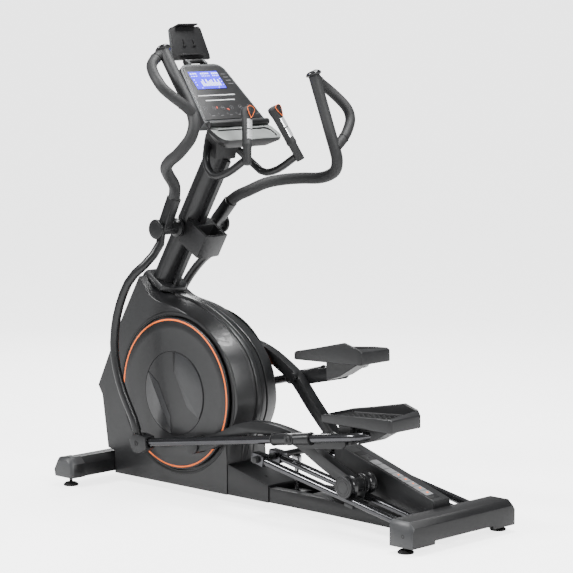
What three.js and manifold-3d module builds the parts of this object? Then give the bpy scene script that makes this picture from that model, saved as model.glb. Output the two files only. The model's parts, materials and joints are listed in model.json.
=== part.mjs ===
// Front-drive elliptical trainer with an inclined roller ramp.
// Millimetres, +Z up. X runs from the flywheel end (-) to the user's end (+), -Y is the user's left.
// Design coordinates start at the front feet; the finished group is moved so that its origin is
// the middle of its footprint.

import * as THREE from 'three';
import { mergeVertices } from 'three/addons/utils/BufferGeometryUtils.js';
import Module from 'manifold-3d';

const wasm = await Module();
wasm.setup();

// ---------------------------------------------------------------- driving dimensions

const GAP = 0.3;                 // clearance between touching pieces
const RUN = 1.0;                 // clearance beside a moving piece
const MERGE = 1e-4;

const FRONT_FACE = -33;          // foremost point of the front stabilizer
const REAR_FACE = 1682;          // rearmost point of the rear stabilizer
const FOOTPRINT_CENTRE = (FRONT_FACE + REAR_FACE) / 2;

// Linkage, in the side plane (x, z)
const SWING_PIVOT = new THREE.Vector2(377, 967);
const CRANK = new THREE.Vector2(410, 370);
const CRANK_RADIUS = 220;
const CRANK_ANGLE = THREE.MathUtils.degToRad(49.5);   // left pin, below the rearward direction
const ARM_LENGTH = 772;          // crank pin to roller axle
const PEDAL_PIVOT_ALONG = 259;   // pedal pivot, measured from the roller axle
const PEDAL_PIVOT_RISE = 118;
const SWING_LENGTH = 784;
const PEDAL_LINK = 770;          // swing joint to pedal pivot

// Ramp
const RAIL_POINT = new THREE.Vector2(1151, 161);
const RAIL_SLOPE = THREE.MathUtils.degToRad(11.16);
const RAIL_RADIUS = 14;
const ROLLER_LIFT = 40.8;        // axle height, square to the rails
const RAMP_HINGE_X = 1612;
const RAIL_FRONT_X = 892;

// Distances from the centre plane
const Y_INNER_RAIL = 100;
const Y_OUTER_RAIL = 185;
const Y_ARM = 142.5;
const Y_LINK = 186;              // swing joint, pedal tube
const Y_DISC_FACE = 114;
const SHROUD_HALF = 100;

// Tubes
const SWING_TUBE = 16;
const HANDLE_TUBE = 21;
const PEDAL_TUBE = 15;
const LOOP_TUBE = 19;
const ARM_WIDTH = 37;
const ARM_HEIGHT = 42;

const SIDES = [
  { name: 'left', sign: -1, phase: 0, pedalTilt: 0 },
  { name: 'right', sign: 1, phase: Math.PI, pedalTilt: THREE.MathUtils.degToRad(2) },
];

// ---------------------------------------------------------------- finishes

const FINISHES = {
  paint: { color: 0x3a3b3d, roughness: 0.42, metalness: 0.35 },
  plastic: { color: 0x2f3032, roughness: 0.55, metalness: 0.0 },
  darkPlastic: { color: 0x191a1b, roughness: 0.5, metalness: 0.0 },
  foam: { color: 0x2b2c2e, roughness: 0.85, metalness: 0.0 },
  rubber: { color: 0x141414, roughness: 0.8, metalness: 0.0 },
  steel: { color: 0x9a9b9c, roughness: 0.3, metalness: 1.0 },
  rail: { color: 0x4a4b4d, roughness: 0.25, metalness: 0.9 },
  wheel: { color: 0x232425, roughness: 0.35, metalness: 0.1 },
  screen: { color: 0x4a4ad0, roughness: 0.2, metalness: 0.0 },
  copper: { color: 0xb06a3c, roughness: 0.4, metalness: 0.8 },
};

const group = new THREE.Group();

// ---------------------------------------------------------------- solid helpers

function volumeOf(positions, triangles) {
  const a = new THREE.Vector3();
  const b = new THREE.Vector3();
  const c = new THREE.Vector3();
  let volume = 0;
  for (let i = 0; i < triangles.length; i += 3) {
    a.fromArray(positions, triangles[i] * 3);
    b.fromArray(positions, triangles[i + 1] * 3);
    c.fromArray(positions, triangles[i + 2] * 3);
    volume += a.dot(b.cross(c)) / 6;
  }
  return volume;
}

/** A manifold solid from a closed three.js geometry, with its faces turned outwards. */
function solid(geometry) {
  geometry.deleteAttribute('normal');
  geometry.deleteAttribute('uv');
  const merged = mergeVertices(geometry, MERGE);
  const positions = merged.attributes.position.array;
  const index = merged.index.array;
  const triangles = [];
  for (let i = 0; i < index.length; i += 3) {
    const [a, b, c] = [index[i], index[i + 1], index[i + 2]];
    if (a !== b && b !== c && c !== a) {
      triangles.push(a, b, c);
    }
  }
  if (volumeOf(positions, triangles) < 0) {
    triangles.reverse();
  }
  return new wasm.Manifold(new wasm.Mesh({
    numProp: 3,
    vertProperties: new Float32Array(positions),
    triVerts: new Uint32Array(triangles),
  }));
}

function joined(...solids) {
  return solids.reduce((sum, next) => sum.add(next));
}

function addPart(name, shape, finish) {
  const mesh = shape.getMesh();
  const geometry = new THREE.BufferGeometry();
  geometry.setAttribute('position', new THREE.BufferAttribute(new Float32Array(mesh.vertProperties), 3));
  geometry.setIndex(new THREE.BufferAttribute(new Uint32Array(mesh.triVerts), 1));
  geometry.computeVertexNormals();
  const part = new THREE.Mesh(geometry, new THREE.MeshStandardMaterial({ ...FINISHES[finish], flatShading: true }));
  part.name = name;
  group.add(part);
}

function box(xMin, xMax, yMin, yMax, zMin, zMax) {
  const geometry = new THREE.BoxGeometry(xMax - xMin, yMax - yMin, zMax - zMin);
  geometry.translate((xMin + xMax) / 2, (yMin + yMax) / 2, (zMin + zMax) / 2);
  return solid(geometry);
}

/** A round bar between two points. */
function rod(from, to, radius, sides = 14, endRadius = radius) {
  const direction = to.clone().sub(from);
  const geometry = new THREE.CylinderGeometry(endRadius, radius, direction.length(), sides);
  geometry.applyQuaternion(
    new THREE.Quaternion().setFromUnitVectors(new THREE.Vector3(0, 1, 0), direction.clone().normalize()),
  );
  const middle = from.clone().add(to).multiplyScalar(0.5);
  geometry.translate(middle.x, middle.y, middle.z);
  return solid(geometry);
}

/** A round bar across the machine, at a side-plane point. */
function crossRod(at, yFrom, yTo, radius, sides = 16) {
  return rod(new THREE.Vector3(at.x, yFrom, at.y), new THREE.Vector3(at.x, yTo, at.y), radius, sides);
}

/** A piece turned about a crosswise axis; the profile is [radius, y] pairs, closed or on the axis. */
function turned(at, profile, sides = 20) {
  const geometry = new THREE.LatheGeometry(profile.map(([r, y]) => new THREE.Vector2(r, y)), sides);
  geometry.translate(at.x, 0, at.y);
  return solid(geometry);
}

/** A plate cut to a side-plane outline, between two distances from the centre plane. */
function sidePlate(outline, yMin, yMax) {
  const shape = new THREE.Shape(outline.map(([x, z]) => new THREE.Vector2(x, z)));
  const geometry = new THREE.ExtrudeGeometry(shape, { depth: yMax - yMin, bevelEnabled: false });
  geometry.rotateX(Math.PI / 2);
  geometry.translate(0, yMax, 0);
  return solid(geometry);
}

/** A side plate on one side of the machine, from near to far off the centre plane. */
function plateOn(side, outline, near, far) {
  return side.sign > 0 ? sidePlate(outline, near, far) : sidePlate(outline, -far, -near);
}

function circlePoints(radius, sides, centre = [0, 0]) {
  return Array.from({ length: sides }, (_, i) => {
    const angle = (2 * Math.PI * i) / sides;
    return [centre[0] + radius * Math.cos(angle), centre[1] + radius * Math.sin(angle)];
  });
}

/** A section carried along a curve. */
function swept(curve, outline, steps) {
  const section = new THREE.Shape(outline.map(([u, v]) => new THREE.Vector2(u, v)));
  return solid(new THREE.ExtrudeGeometry(section, { steps, extrudePath: curve, bevelEnabled: false }));
}

function smoothTube(points, radius, steps, sides = 10) {
  return swept(new THREE.CatmullRomCurve3(points, false, 'centripetal'), circlePoints(radius, sides), steps);
}

/** A closed body through rings of points with the same count; each end ring is convex. */
function loft(rings) {
  const count = rings[0].length;
  const positions = rings.flat().flatMap((p) => [p.x, p.y, p.z]);
  const index = [];
  for (let r = 0; r < rings.length - 1; r += 1) {
    for (let i = 0; i < count; i += 1) {
      const a = r * count + i;
      const b = r * count + ((i + 1) % count);
      index.push(a, b, b + count, a, b + count, a + count);
    }
  }
  const last = (rings.length - 1) * count;
  for (let i = 1; i < count - 1; i += 1) {
    index.push(0, i + 1, i, last, last + i, last + i + 1);
  }
  const geometry = new THREE.BufferGeometry();
  geometry.setAttribute('position', new THREE.Float32BufferAttribute(positions, 3));
  geometry.setIndex(index);
  return solid(geometry);
}

/** An outline moved inwards by a distance (outwards when negative); corners stay mitred. */
function inset(outline, distance) {
  const area = outline.reduce((sum, [x, z], i) => {
    const [nx, nz] = outline[(i + 1) % outline.length];
    return sum + x * nz - nx * z;
  }, 0);
  const turn = Math.sign(area);
  return outline.map((corner, i) => {
    const here = new THREE.Vector2(...corner);
    const before = new THREE.Vector2(...outline[(i + outline.length - 1) % outline.length]);
    const after = new THREE.Vector2(...outline[(i + 1) % outline.length]);
    const into = here.clone().sub(before).normalize();
    const out = after.sub(here).normalize();
    const sideIn = new THREE.Vector2(-into.y, into.x).multiplyScalar(turn);
    const sideOut = new THREE.Vector2(-out.y, out.x).multiplyScalar(turn);
    const mitre = sideIn.clone().add(sideOut).normalize();
    const moved = here.add(mitre.multiplyScalar(distance / mitre.dot(sideIn)));
    return [moved.x, moved.y];
  });
}

/** Points of a rounded rectangle, centred, as [u, v] pairs. */
function roundedRectangle(width, height, radius, cornerSteps = 3) {
  const points = [];
  const corners = [[1, 1, 0], [-1, 1, 1], [-1, -1, 2], [1, -1, 3]];
  for (const [su, sv, quarter] of corners) {
    for (let i = 0; i <= cornerSteps; i += 1) {
      const angle = (quarter + i / cornerSteps) * Math.PI / 2;
      points.push([
        su * (width / 2 - radius) + radius * Math.cos(angle),
        sv * (height / 2 - radius) + radius * Math.sin(angle),
      ]);
    }
  }
  return points;
}

/** A frame in space: a point from its origin and distances along its three axes. */
function frameAt(origin, xAxis, yAxis) {
  const zAxis = xAxis.clone().cross(yAxis);
  return (u, v, w = 0) => origin.clone()
    .addScaledVector(xAxis, u)
    .addScaledVector(yAxis, v)
    .addScaledVector(zAxis, w);
}

// ---------------------------------------------------------------- linkage at rest

const railAlong = new THREE.Vector2(Math.cos(RAIL_SLOPE), -Math.sin(RAIL_SLOPE));
const railUp = new THREE.Vector2(Math.sin(RAIL_SLOPE), Math.cos(RAIL_SLOPE));

function railAt(x) {
  return RAIL_POINT.clone().addScaledVector(railAlong, (x - RAIL_POINT.x) / railAlong.x);
}

const rampHinge = railAt(RAMP_HINGE_X);

/** Where a circle about a point meets the line that the roller axles travel on, at the rear. */
function rollerPoint(pin) {
  const start = RAIL_POINT.clone().addScaledVector(railUp, ROLLER_LIFT);
  const toStart = start.clone().sub(pin);
  const half = toStart.dot(railAlong);
  const rest = toStart.lengthSq() - ARM_LENGTH ** 2;
  return start.addScaledVector(railAlong, -half + Math.sqrt(half ** 2 - rest));
}

/** The front crossing of a circle about the swing pivot and a circle about the pedal pivot. */
function swingJoint(pedalPivot) {
  const between = pedalPivot.clone().sub(SWING_PIVOT);
  const span = between.length();
  const along = (SWING_LENGTH ** 2 - PEDAL_LINK ** 2 + span ** 2) / (2 * span);
  const across = Math.sqrt(SWING_LENGTH ** 2 - along ** 2);
  between.normalize();
  return SWING_PIVOT.clone()
    .addScaledVector(between, along)
    .addScaledVector(new THREE.Vector2(between.y, -between.x), across);
}

function linkage(phase) {
  const angle = CRANK_ANGLE + phase;
  const pin = CRANK.clone().add(new THREE.Vector2(Math.cos(angle), -Math.sin(angle)).multiplyScalar(CRANK_RADIUS));
  const roller = rollerPoint(pin);
  const armAlong = pin.clone().sub(roller).normalize();
  const armUp = new THREE.Vector2(armAlong.y, -armAlong.x);
  const pedalPivot = roller.clone()
    .addScaledVector(armAlong, PEDAL_PIVOT_ALONG)
    .addScaledVector(armUp, PEDAL_PIVOT_RISE);
  const joint = swingJoint(pedalPivot);
  const swing = Math.atan2(joint.x - SWING_PIVOT.x, SWING_PIVOT.y - joint.y);
  return { pin, roller, armAlong, armUp, pedalPivot, joint, swing };
}

for (const side of SIDES) {
  Object.assign(side, linkage(side.phase));
}
const leftSwing = SIDES[0].swing;

/** A point on one side, from side-plane coordinates and a distance off the centre plane. */
function onSide(side, at, off) {
  return new THREE.Vector3(at.x, side.sign * off, at.y);
}

// ---------------------------------------------------------------- belt drive places

const FLYWHEEL = new THREE.Vector2(196, 330);
const FLYWHEEL_AXLE = 8;
const DRIVE_PULLEY = 148;
const SMALL_PULLEY = 17;
const BELT_THICK = 3;
const BELT_SLACK = 1.2;

const wheelbase = FLYWHEEL.clone().sub(CRANK);
const beltLean = Math.acos((DRIVE_PULLEY - SMALL_PULLEY) / wheelbase.length());

// ---------------------------------------------------------------- frame

const FRAME_BOTTOM = 32;
const FRAME_NEAR = 56;           // longitudinal tubes, off the centre plane
const FRAME_FAR = 92;
const STABILIZER_BACK = 72;
const WEDGE_FRONT = 668;
const BEARING_NEAR = 76;
const BEARING_FAR = 82;
const AXLE_RADIUS = 10;
const REAR_TUBE_FRONT = 1632;
const RISER_TOP = 566;

function makeBaseFrame() {
  const tubeSide = [
    [STABILIZER_BACK + GAP, FRAME_BOTTOM], [STABILIZER_BACK + GAP, 86], [1120, 84], [1470, 64],
    [REAR_TUBE_FRONT - GAP, 48], [REAR_TUBE_FRONT - GAP, 27], [1120, FRAME_BOTTOM],
  ];
  const wedge = [[WEDGE_FRONT, FRAME_BOTTOM], [WEDGE_FRONT, 142], [868, 94], [868, FRAME_BOTTOM]];
  const bearingPlate = [[110, 60], [110, 330], [160, 392], [370, 432], [450, 432], [470, 60]];
  const riser = [[84, 60], [116, 60], [168, RISER_TOP], [112, RISER_TOP]];
  let frame = joined(
    sidePlate(tubeSide, -FRAME_FAR, -FRAME_NEAR),
    sidePlate(tubeSide, FRAME_NEAR, FRAME_FAR),
    sidePlate(wedge, -98, 98),
    box(80, 140, -60, 60, 36, 80),
    box(380, 440, -60, 60, 36, 80),
    box(1030, 1120, -60, 60, 36, 80),
    box(1560, 1600, -60, 60, 30, 46),
    sidePlate(bearingPlate, -BEARING_FAR, -BEARING_NEAR),
    sidePlate(bearingPlate, BEARING_NEAR, BEARING_FAR),
    sidePlate(riser, -26, 26),
  );
  frame = frame.subtract(crossRod(CRANK, -120, 120, AXLE_RADIUS + GAP));
  frame = frame.subtract(crossRod(FLYWHEEL, -120, 120, FLYWHEEL_AXLE + GAP));
  frame = frame.subtract(mastPrism(GAP, -GAP, 60));
  addPart('base_frame', frame, 'paint');
}

function makeFrontStabilizer() {
  const section = [[-24, 38], [-31, 62], [-8, 104], [48, 108], [STABILIZER_BACK, 84], [STABILIZER_BACK, 38]];
  const cap = section.map(([x, z]) => [x < 20 ? x - 2 : x, z > 60 ? z + 2 : z - 2]);
  const ringAt = (outline, y, shrink) => outline.map(([x, z]) => new THREE.Vector3(
    20 + (x - 20) * shrink, y, 38 + (z - 38) * shrink,
  ));
  const body = sidePlate(section, -262, 262);
  const ends = [-1, 1].map((s) => loft([
    ringAt(cap, s * 246, 1), ringAt(cap, s * 300, 1), ringAt(cap, s * 312, 0.86),
  ]));
  addPart('front_stabilizer', joined(body, ...ends), 'paint');
}

const HINGE_ROD = 8;
const REAR_HALF = 265;
const REAR_BLOCK = 218;
const REAR_BOTTOM = 22;

function makeRearStabilizer() {
  const shell = [
    [1582, 104], [1582, 109], [1660, 109], [REAR_FACE, 90], [REAR_FACE, REAR_BOTTOM],
    [REAR_FACE - 6, REAR_BOTTOM], [REAR_FACE - 6, 87], [1657, 104],
  ];
  const endSide = [[1582, REAR_BOTTOM], [1582, 109], [1660, 109], [REAR_FACE, 90], [REAR_FACE, REAR_BOTTOM]];
  const ends = [-1, 1].map((s) => loft([
    endSide.map(([x, z]) => new THREE.Vector3(x, s * REAR_BLOCK, z)),
    endSide.map(([x, z]) => new THREE.Vector3(x, s * 254, z)),
    endSide.map(([x, z]) => new THREE.Vector3(x, s * REAR_HALF, z > 80 ? z - 14 : z)),
  ]));
  const notch = box(1640, REAR_FACE + 10, -150, 150, REAR_BOTTOM - 10, 34);
  addPart('rear_stabilizer', joined(
    sidePlate(shell, -REAR_BLOCK - 1, REAR_BLOCK + 1),
    box(REAR_TUBE_FRONT, REAR_FACE - 4, -REAR_BLOCK - 1, REAR_BLOCK + 1, 26, 56),
    crossRod(rampHinge, -REAR_BLOCK - 1, REAR_BLOCK + 1, HINGE_ROD, 16),
    ...ends,
  ).subtract(notch), 'plastic');
}

/** A levelling foot: a rubber pad on a threaded stud. */
function makeFoot(name, x, y, studTop) {
  const profile = [[0, 0], [27, 0], [28, 5], [20, 12], [6, 14], [6, studTop], [0, studTop]];
  const geometry = new THREE.LatheGeometry(profile.map(([r, h]) => new THREE.Vector2(r, h)), 24);
  geometry.rotateX(Math.PI / 2);
  geometry.translate(x, y, 0);
  addPart(name, solid(geometry), 'rubber');
}

function makeFeet() {
  for (const side of SIDES) {
    makeFoot(`foot_front_${side.name}`, 20, side.sign * 270, 36 - GAP);
    makeFoot(`foot_rear_${side.name}`, 1630, side.sign * 238, REAR_BOTTOM - GAP);
  }
}

// ---------------------------------------------------------------- mast and swing pivot

const MAST_FOOT = new THREE.Vector3(151, 0, 570);
const MAST_TOP = new THREE.Vector3(541, 0, 1234);
const mastAlong = MAST_TOP.clone().sub(MAST_FOOT).normalize();
const mastBack = new THREE.Vector3(mastAlong.z, 0, -mastAlong.x);
const mastFrame = frameAt(MAST_FOOT, mastBack, new THREE.Vector3(0, 1, 0));
const MAST_LENGTH = MAST_FOOT.distanceTo(MAST_TOP);
const MAST_DEPTH = 42;           // half of the oval, fore and aft
const MAST_WIDTH = 54;           // half of the oval, side to side
const MAST_SHIFT = -12;          // centre of the oval, ahead of the mast line
const SPINE_BACK = 47;
const AXLE_TUBE = 15;
const HUB_NEAR = 58;
const HUB_FAR = 159;
const HUB_TUBE = 23;
const HUB_CAP = 36;

/** The mast's section, grown by a margin: an oval with a narrow spine along its rear. */
function mastPrism(margin, from, to) {
  const oval = circlePoints(1, 24).map(([u, v]) => [
    MAST_SHIFT + u * (MAST_DEPTH + margin), v * (MAST_WIDTH + margin),
  ]);
  const spine = [[20, -10 - margin], [SPINE_BACK + margin, -10 - margin], [SPINE_BACK + margin, 10 + margin],
    [20, 10 + margin]];
  const ends = (outline) => [from, to].map((w) => outline.map(([u, v]) => mastFrame(u, v).addScaledVector(mastAlong, w)));
  return joined(loft(ends(oval)), loft(ends(spine)));
}

function makeMast() {
  const bore = crossRod(SWING_PIVOT, -60, 60, AXLE_TUBE + GAP);
  addPart('mast', mastPrism(0, 0, MAST_LENGTH).subtract(bore), 'paint');
}

function makePivotAxle() {
  const capFace = HUB_FAR + RUN;
  const end = [[AXLE_TUBE, capFace], [HUB_CAP, capFace], [HUB_CAP, capFace + 9], [HUB_CAP - 2, capFace + 12],
    [0, capFace + 12]];
  const profile = [...end.map(([r, y]) => [r, -y]).reverse(), ...end];
  addPart('pivot_axle', turned(SWING_PIVOT, profile, 22), 'paint');
}

/** A cup holder strapped to the back of the mast, square to it, with a nose-shaped rear wall. */
function makeCupHolder() {
  const LOW = 412;
  const TOP = 506;
  const HALF = 55;
  const plan = [[16, -HALF], [126, -HALF], [134, -12], [128, HALF], [16, HALF]];
  const mouth = [[60, -42], [118, -42], [124, -10], [119, 42], [60, 42]];
  const ring = (outline, w) => outline.map(([u, v]) => mastFrame(u, v).addScaledVector(mastAlong, w));
  const outer = loft([ring(plan, LOW), ring(plan, TOP)]);
  const cup = loft([ring(mouth, LOW + 5), ring(mouth, TOP + 20)]);
  addPart('cup_holder', outer.subtract(cup).subtract(mastPrism(GAP, 0, MAST_LENGTH)), 'plastic');
}

// ---------------------------------------------------------------- swing arms and handlebars

/** Turns a point given for the left arm at rest to its place on either arm. */
function swingPoint(side, dx, dz, off) {
  const at = new THREE.Vector2(dx, dz).rotateAround(new THREE.Vector2(), side.swing - leftSwing);
  return onSide(side, at.add(SWING_PIVOT), off);
}

const SLEEVE_FOOT = { x: 4, z: 10, off: 128 };
const SLEEVE_TOP = { x: 50, z: 114, off: 124 };

function makeSwingArm(side) {
  const hub = turned(SWING_PIVOT, [
    [AXLE_TUBE + GAP, HUB_NEAR], [34, HUB_NEAR], [34, HUB_NEAR + 12], [HUB_TUBE, HUB_NEAR + 16],
    [HUB_TUBE, HUB_FAR], [AXLE_TUBE + GAP, HUB_FAR], [AXLE_TUBE + GAP, HUB_NEAR],
  ].map(([r, y]) => [r, side.sign * y]), 22);
  const path = [
    [0, -6, 140], [1, -40, 142], [-8, -82, 162], [-28, -124, 192], [-67, -164, 213], [-100, -207, 220],
    [-150, -320, 222], [-168, -430, 221], [-162, -510, 217], [-134, -610, 207], [-98, -690, 196],
  ].map(([dx, dz, off]) => swingPoint(side, dx, dz, off));
  const jointAt = onSide(side, side.joint, Y_LINK);
  const last = path[path.length - 1];
  path.push(last.clone().lerp(jointAt, 0.55));
  const lower = smoothTube(path, SWING_TUBE, 17);
  const barrel = rod(last.clone().lerp(jointAt, 0.3), jointAt.clone().lerp(last, 0.12), 13, 12);
  const eye = crossRod(side.joint, side.sign * (Y_LINK - 11), side.sign * (Y_LINK + 11), 19, 16);
  const bore = crossRod(side.joint, side.sign * (Y_LINK - 20), side.sign * (Y_LINK + 20), 8 + GAP, 14);
  const sleeveAt = swingPoint(side, SLEEVE_TOP.x, SLEEVE_TOP.z, SLEEVE_TOP.off);
  const sleeveLine = new THREE.LineCurve3(swingPoint(side, SLEEVE_FOOT.x, SLEEVE_FOOT.z, SLEEVE_FOOT.off), sleeveAt);
  const sleeve = swept(sleeveLine, roundedRectangle(42, 42, 9, 2), 1);
  const axleBore = crossRod(SWING_PIVOT, side.sign * (HUB_NEAR - 1), side.sign * (HUB_FAR + 1), AXLE_TUBE + GAP, 22);
  const capRoom = crossRod(SWING_PIVOT, side.sign * HUB_FAR, side.sign * 230, HUB_CAP + RUN);
  let arm = joined(lower, barrel, eye, sleeve).subtract(axleBore).subtract(capRoom);
  arm = joined(arm, hub).subtract(bore);
  addPart(`swing_arm_${side.name}`, arm, 'paint');
}

function makeHandlebar(side) {
  const main = smoothTube([
    [50, 114.3, 124], [67, 143, 137], [86, 167, 160], [112, 206, 212], [150, 234, 258], [206, 262, 292],
    [262, 286, 312], [302, 314, 318], [330, 348, 312], [335, 388, 300], [320, 424, 290], [286, 472, 282],
    [222, 551, 276], [156, 634, 268], [149, 644, 267],
  ].map(([dx, dz, off]) => swingPoint(side, dx, dz, off)), HANDLE_TUBE, 26);
  const loop = smoothTube([
    [152, 640, 268], [150, 616, 304], [168, 594, 340], [205, 571, 368], [243, 547, 385], [271, 519, 384],
    [294, 490, 360], [311, 464, 330], [320, 434, 294],
  ].map(([dx, dz, off]) => swingPoint(side, dx, dz, off)), LOOP_TUBE, 14);
  const capFrom = swingPoint(side, 150, 642, 267);
  const capTo = swingPoint(side, 138, 656, 265);
  const capEdge = rod(capFrom, capFrom.clone().lerp(capTo, 0.6), 29, 16);
  const capDome = rod(capFrom.clone().lerp(capTo, 0.4), capTo, 27, 14, 16);
  const sleeveFoot = swingPoint(side, SLEEVE_FOOT.x, SLEEVE_FOOT.z, SLEEVE_FOOT.off);
  const sleeveTop = swingPoint(side, SLEEVE_TOP.x, SLEEVE_TOP.z, SLEEVE_TOP.off);
  const stop = sleeveTop.clone().sub(sleeveFoot).setLength(GAP).add(sleeveTop);
  const sleeveRoom = rod(sleeveFoot, stop, 60, 8);
  addPart(`handlebar_${side.name}`, joined(main, loop, capEdge, capDome).subtract(sleeveRoom), 'foam');
}

// ---------------------------------------------------------------- pedal arms

/** Directions of the pedal arm at rest: along it towards the rear, and square to it. */
function pedalAxes(side) {
  const along = side.pedalPivot.clone().sub(side.joint).normalize();
  return { along, up: new THREE.Vector2(-along.y, along.x) };
}

/** A side-plane point from a distance rearward of the swing joint and a rise off the arm. */
function pedalPoint(side, along, up = 0) {
  const axes = pedalAxes(side);
  return side.joint.clone().addScaledVector(axes.along, along).addScaledVector(axes.up, up);
}

const SLEEVE_HALF = 90;
const PEDAL_HINGE = PEDAL_LINK + 205;   // from the swing joint, along the pedal arm
const PEDAL_HINGE_RISE = -18;
const TUBE_START = 30;
const SOCKET_PLAY = 2.4;                // room round the pedal tube in its joint, for the ramp's lift
const TUBE_BEND = PEDAL_LINK + 314;     // where the pedal tube has turned fully inwards
const TUBE_END = 150;                   // its end, off the centre plane

function makeKnuckle(side) {
  const outline = [[-30, -14], [-34, 14], [-14, 34], [14, 32], [50, 20], [50, -20], [10, -36], [-16, -32]]
    .map(([u, v]) => pedalPoint(side, u, v)).map((p) => [p.x, p.y]);
  const slot = crossRod(side.joint, side.sign * (Y_LINK - 12), side.sign * (Y_LINK + 12), 21 + RUN, 20);
  const opening = [[-70, -36], [-70, 70], [27, 70], [27, 6], [2, -24]]
    .map(([u, v]) => pedalPoint(side, u, v)).map((p) => [p.x, p.y]);
  const throat = plateOn(side, opening, Y_LINK - 17, Y_LINK + 17);
  const pin = crossRod(side.joint, side.sign * (Y_LINK - 22), side.sign * (Y_LINK + 22), 8, 14);
  const socketFrom = onSide(side, pedalPoint(side, TUBE_START - RUN), Y_LINK);
  const socketTo = onSide(side, pedalPoint(side, 60), Y_LINK);
  const socket = rod(socketFrom, socketTo, PEDAL_TUBE + SOCKET_PLAY, 24);
  const body = plateOn(side, outline, Y_LINK - 24, Y_LINK + 24);
  addPart(`joint_cover_${side.name}`, joined(body.subtract(slot).subtract(throat).subtract(socket), pin), 'plastic');
}

function makePedalArm(side) {
  const path = new THREE.CurvePath();
  const from = onSide(side, pedalPoint(side, TUBE_START + GAP), Y_LINK);
  const turnIn = onSide(side, pedalPoint(side, TUBE_BEND - 70), Y_LINK);
  const corner = onSide(side, pedalPoint(side, TUBE_BEND), Y_LINK);
  const inboard = onSide(side, pedalPoint(side, TUBE_BEND), TUBE_END);
  path.add(new THREE.LineCurve3(from, turnIn));
  path.add(new THREE.QuadraticBezierCurve3(turnIn, corner, inboard));
  addPart(`pedal_arm_${side.name}`, swept(path, circlePoints(PEDAL_TUBE, 12), 40), 'rail');
}

const PEDAL_HALF_WIDTH = 82;
const Y_PEDAL = 86;
const PEDAL_FRONT = -98;         // from the pedal hinge
const PEDAL_REAR = 222;
const PEDAL_BASE = 57;           // underside of the pedal, above its hinge
const PEDAL_RIM = 9;
const TREAD_DEPTH = 12;
const LUG_NEAR = 106;
const LUG_FAR = 148;
const LUG_THICK = 11;

/** The welded sleeve at the pedal pivot, with its boss and the plate that carries the pedal. */
function makePedalBracket(side) {
  const pivotAlong = PEDAL_LINK;
  const s = side.sign;
  const sleeve = rod(
    onSide(side, pedalPoint(side, pivotAlong - SLEEVE_HALF), Y_LINK),
    onSide(side, pedalPoint(side, pivotAlong + SLEEVE_HALF), Y_LINK), 21, 14,
  );
  const boss = crossRod(side.pedalPivot, s * (Y_ARM + ARM_WIDTH / 2 + RUN), s * (Y_LINK + 23), 20, 16);
  const plateNear = 163;
  const plateFar = 169;
  const outline = [[-20, -18], [-20, 16], [60, 14], [205, 4], [224, -6], [226, -30], [208, -40], [36, -36]]
    .map(([u, v]) => pedalPoint(side, pivotAlong + u, v)).map((p) => [p.x, p.y]);
  const plate = plateOn(side, outline, plateNear, plateFar);
  const webOutline = [[30, -8], [30, 8], [86, 8], [86, -8]]
    .map(([u, v]) => pedalPoint(side, pivotAlong + u, v)).map((p) => [p.x, p.y]);
  const web = plateOn(side, webOutline, plateFar - 1, Y_LINK - 10);
  const hinge = pedalPoint(side, PEDAL_HINGE, PEDAL_HINGE_RISE);
  const hingePin = crossRod(hinge, s * 97, s * (plateNear + 1), 8, 12);
  const head = crossRod(hinge, s * 94, s * (LUG_NEAR - RUN), 15, 16);
  const nut = crossRod(hinge, s * 151, s * (plateNear + 1), 14, 6);
  const tube = rod(onSide(side, pedalPoint(side, 100), Y_LINK), onSide(side, pedalPoint(side, TUBE_BEND - 80), Y_LINK),
    PEDAL_TUBE + GAP, 24);
  addPart(`pedal_bracket_${side.name}`, joined(sleeve, boss, plate, web, hingePin, head, nut).subtract(tube), 'paint');
}

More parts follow.
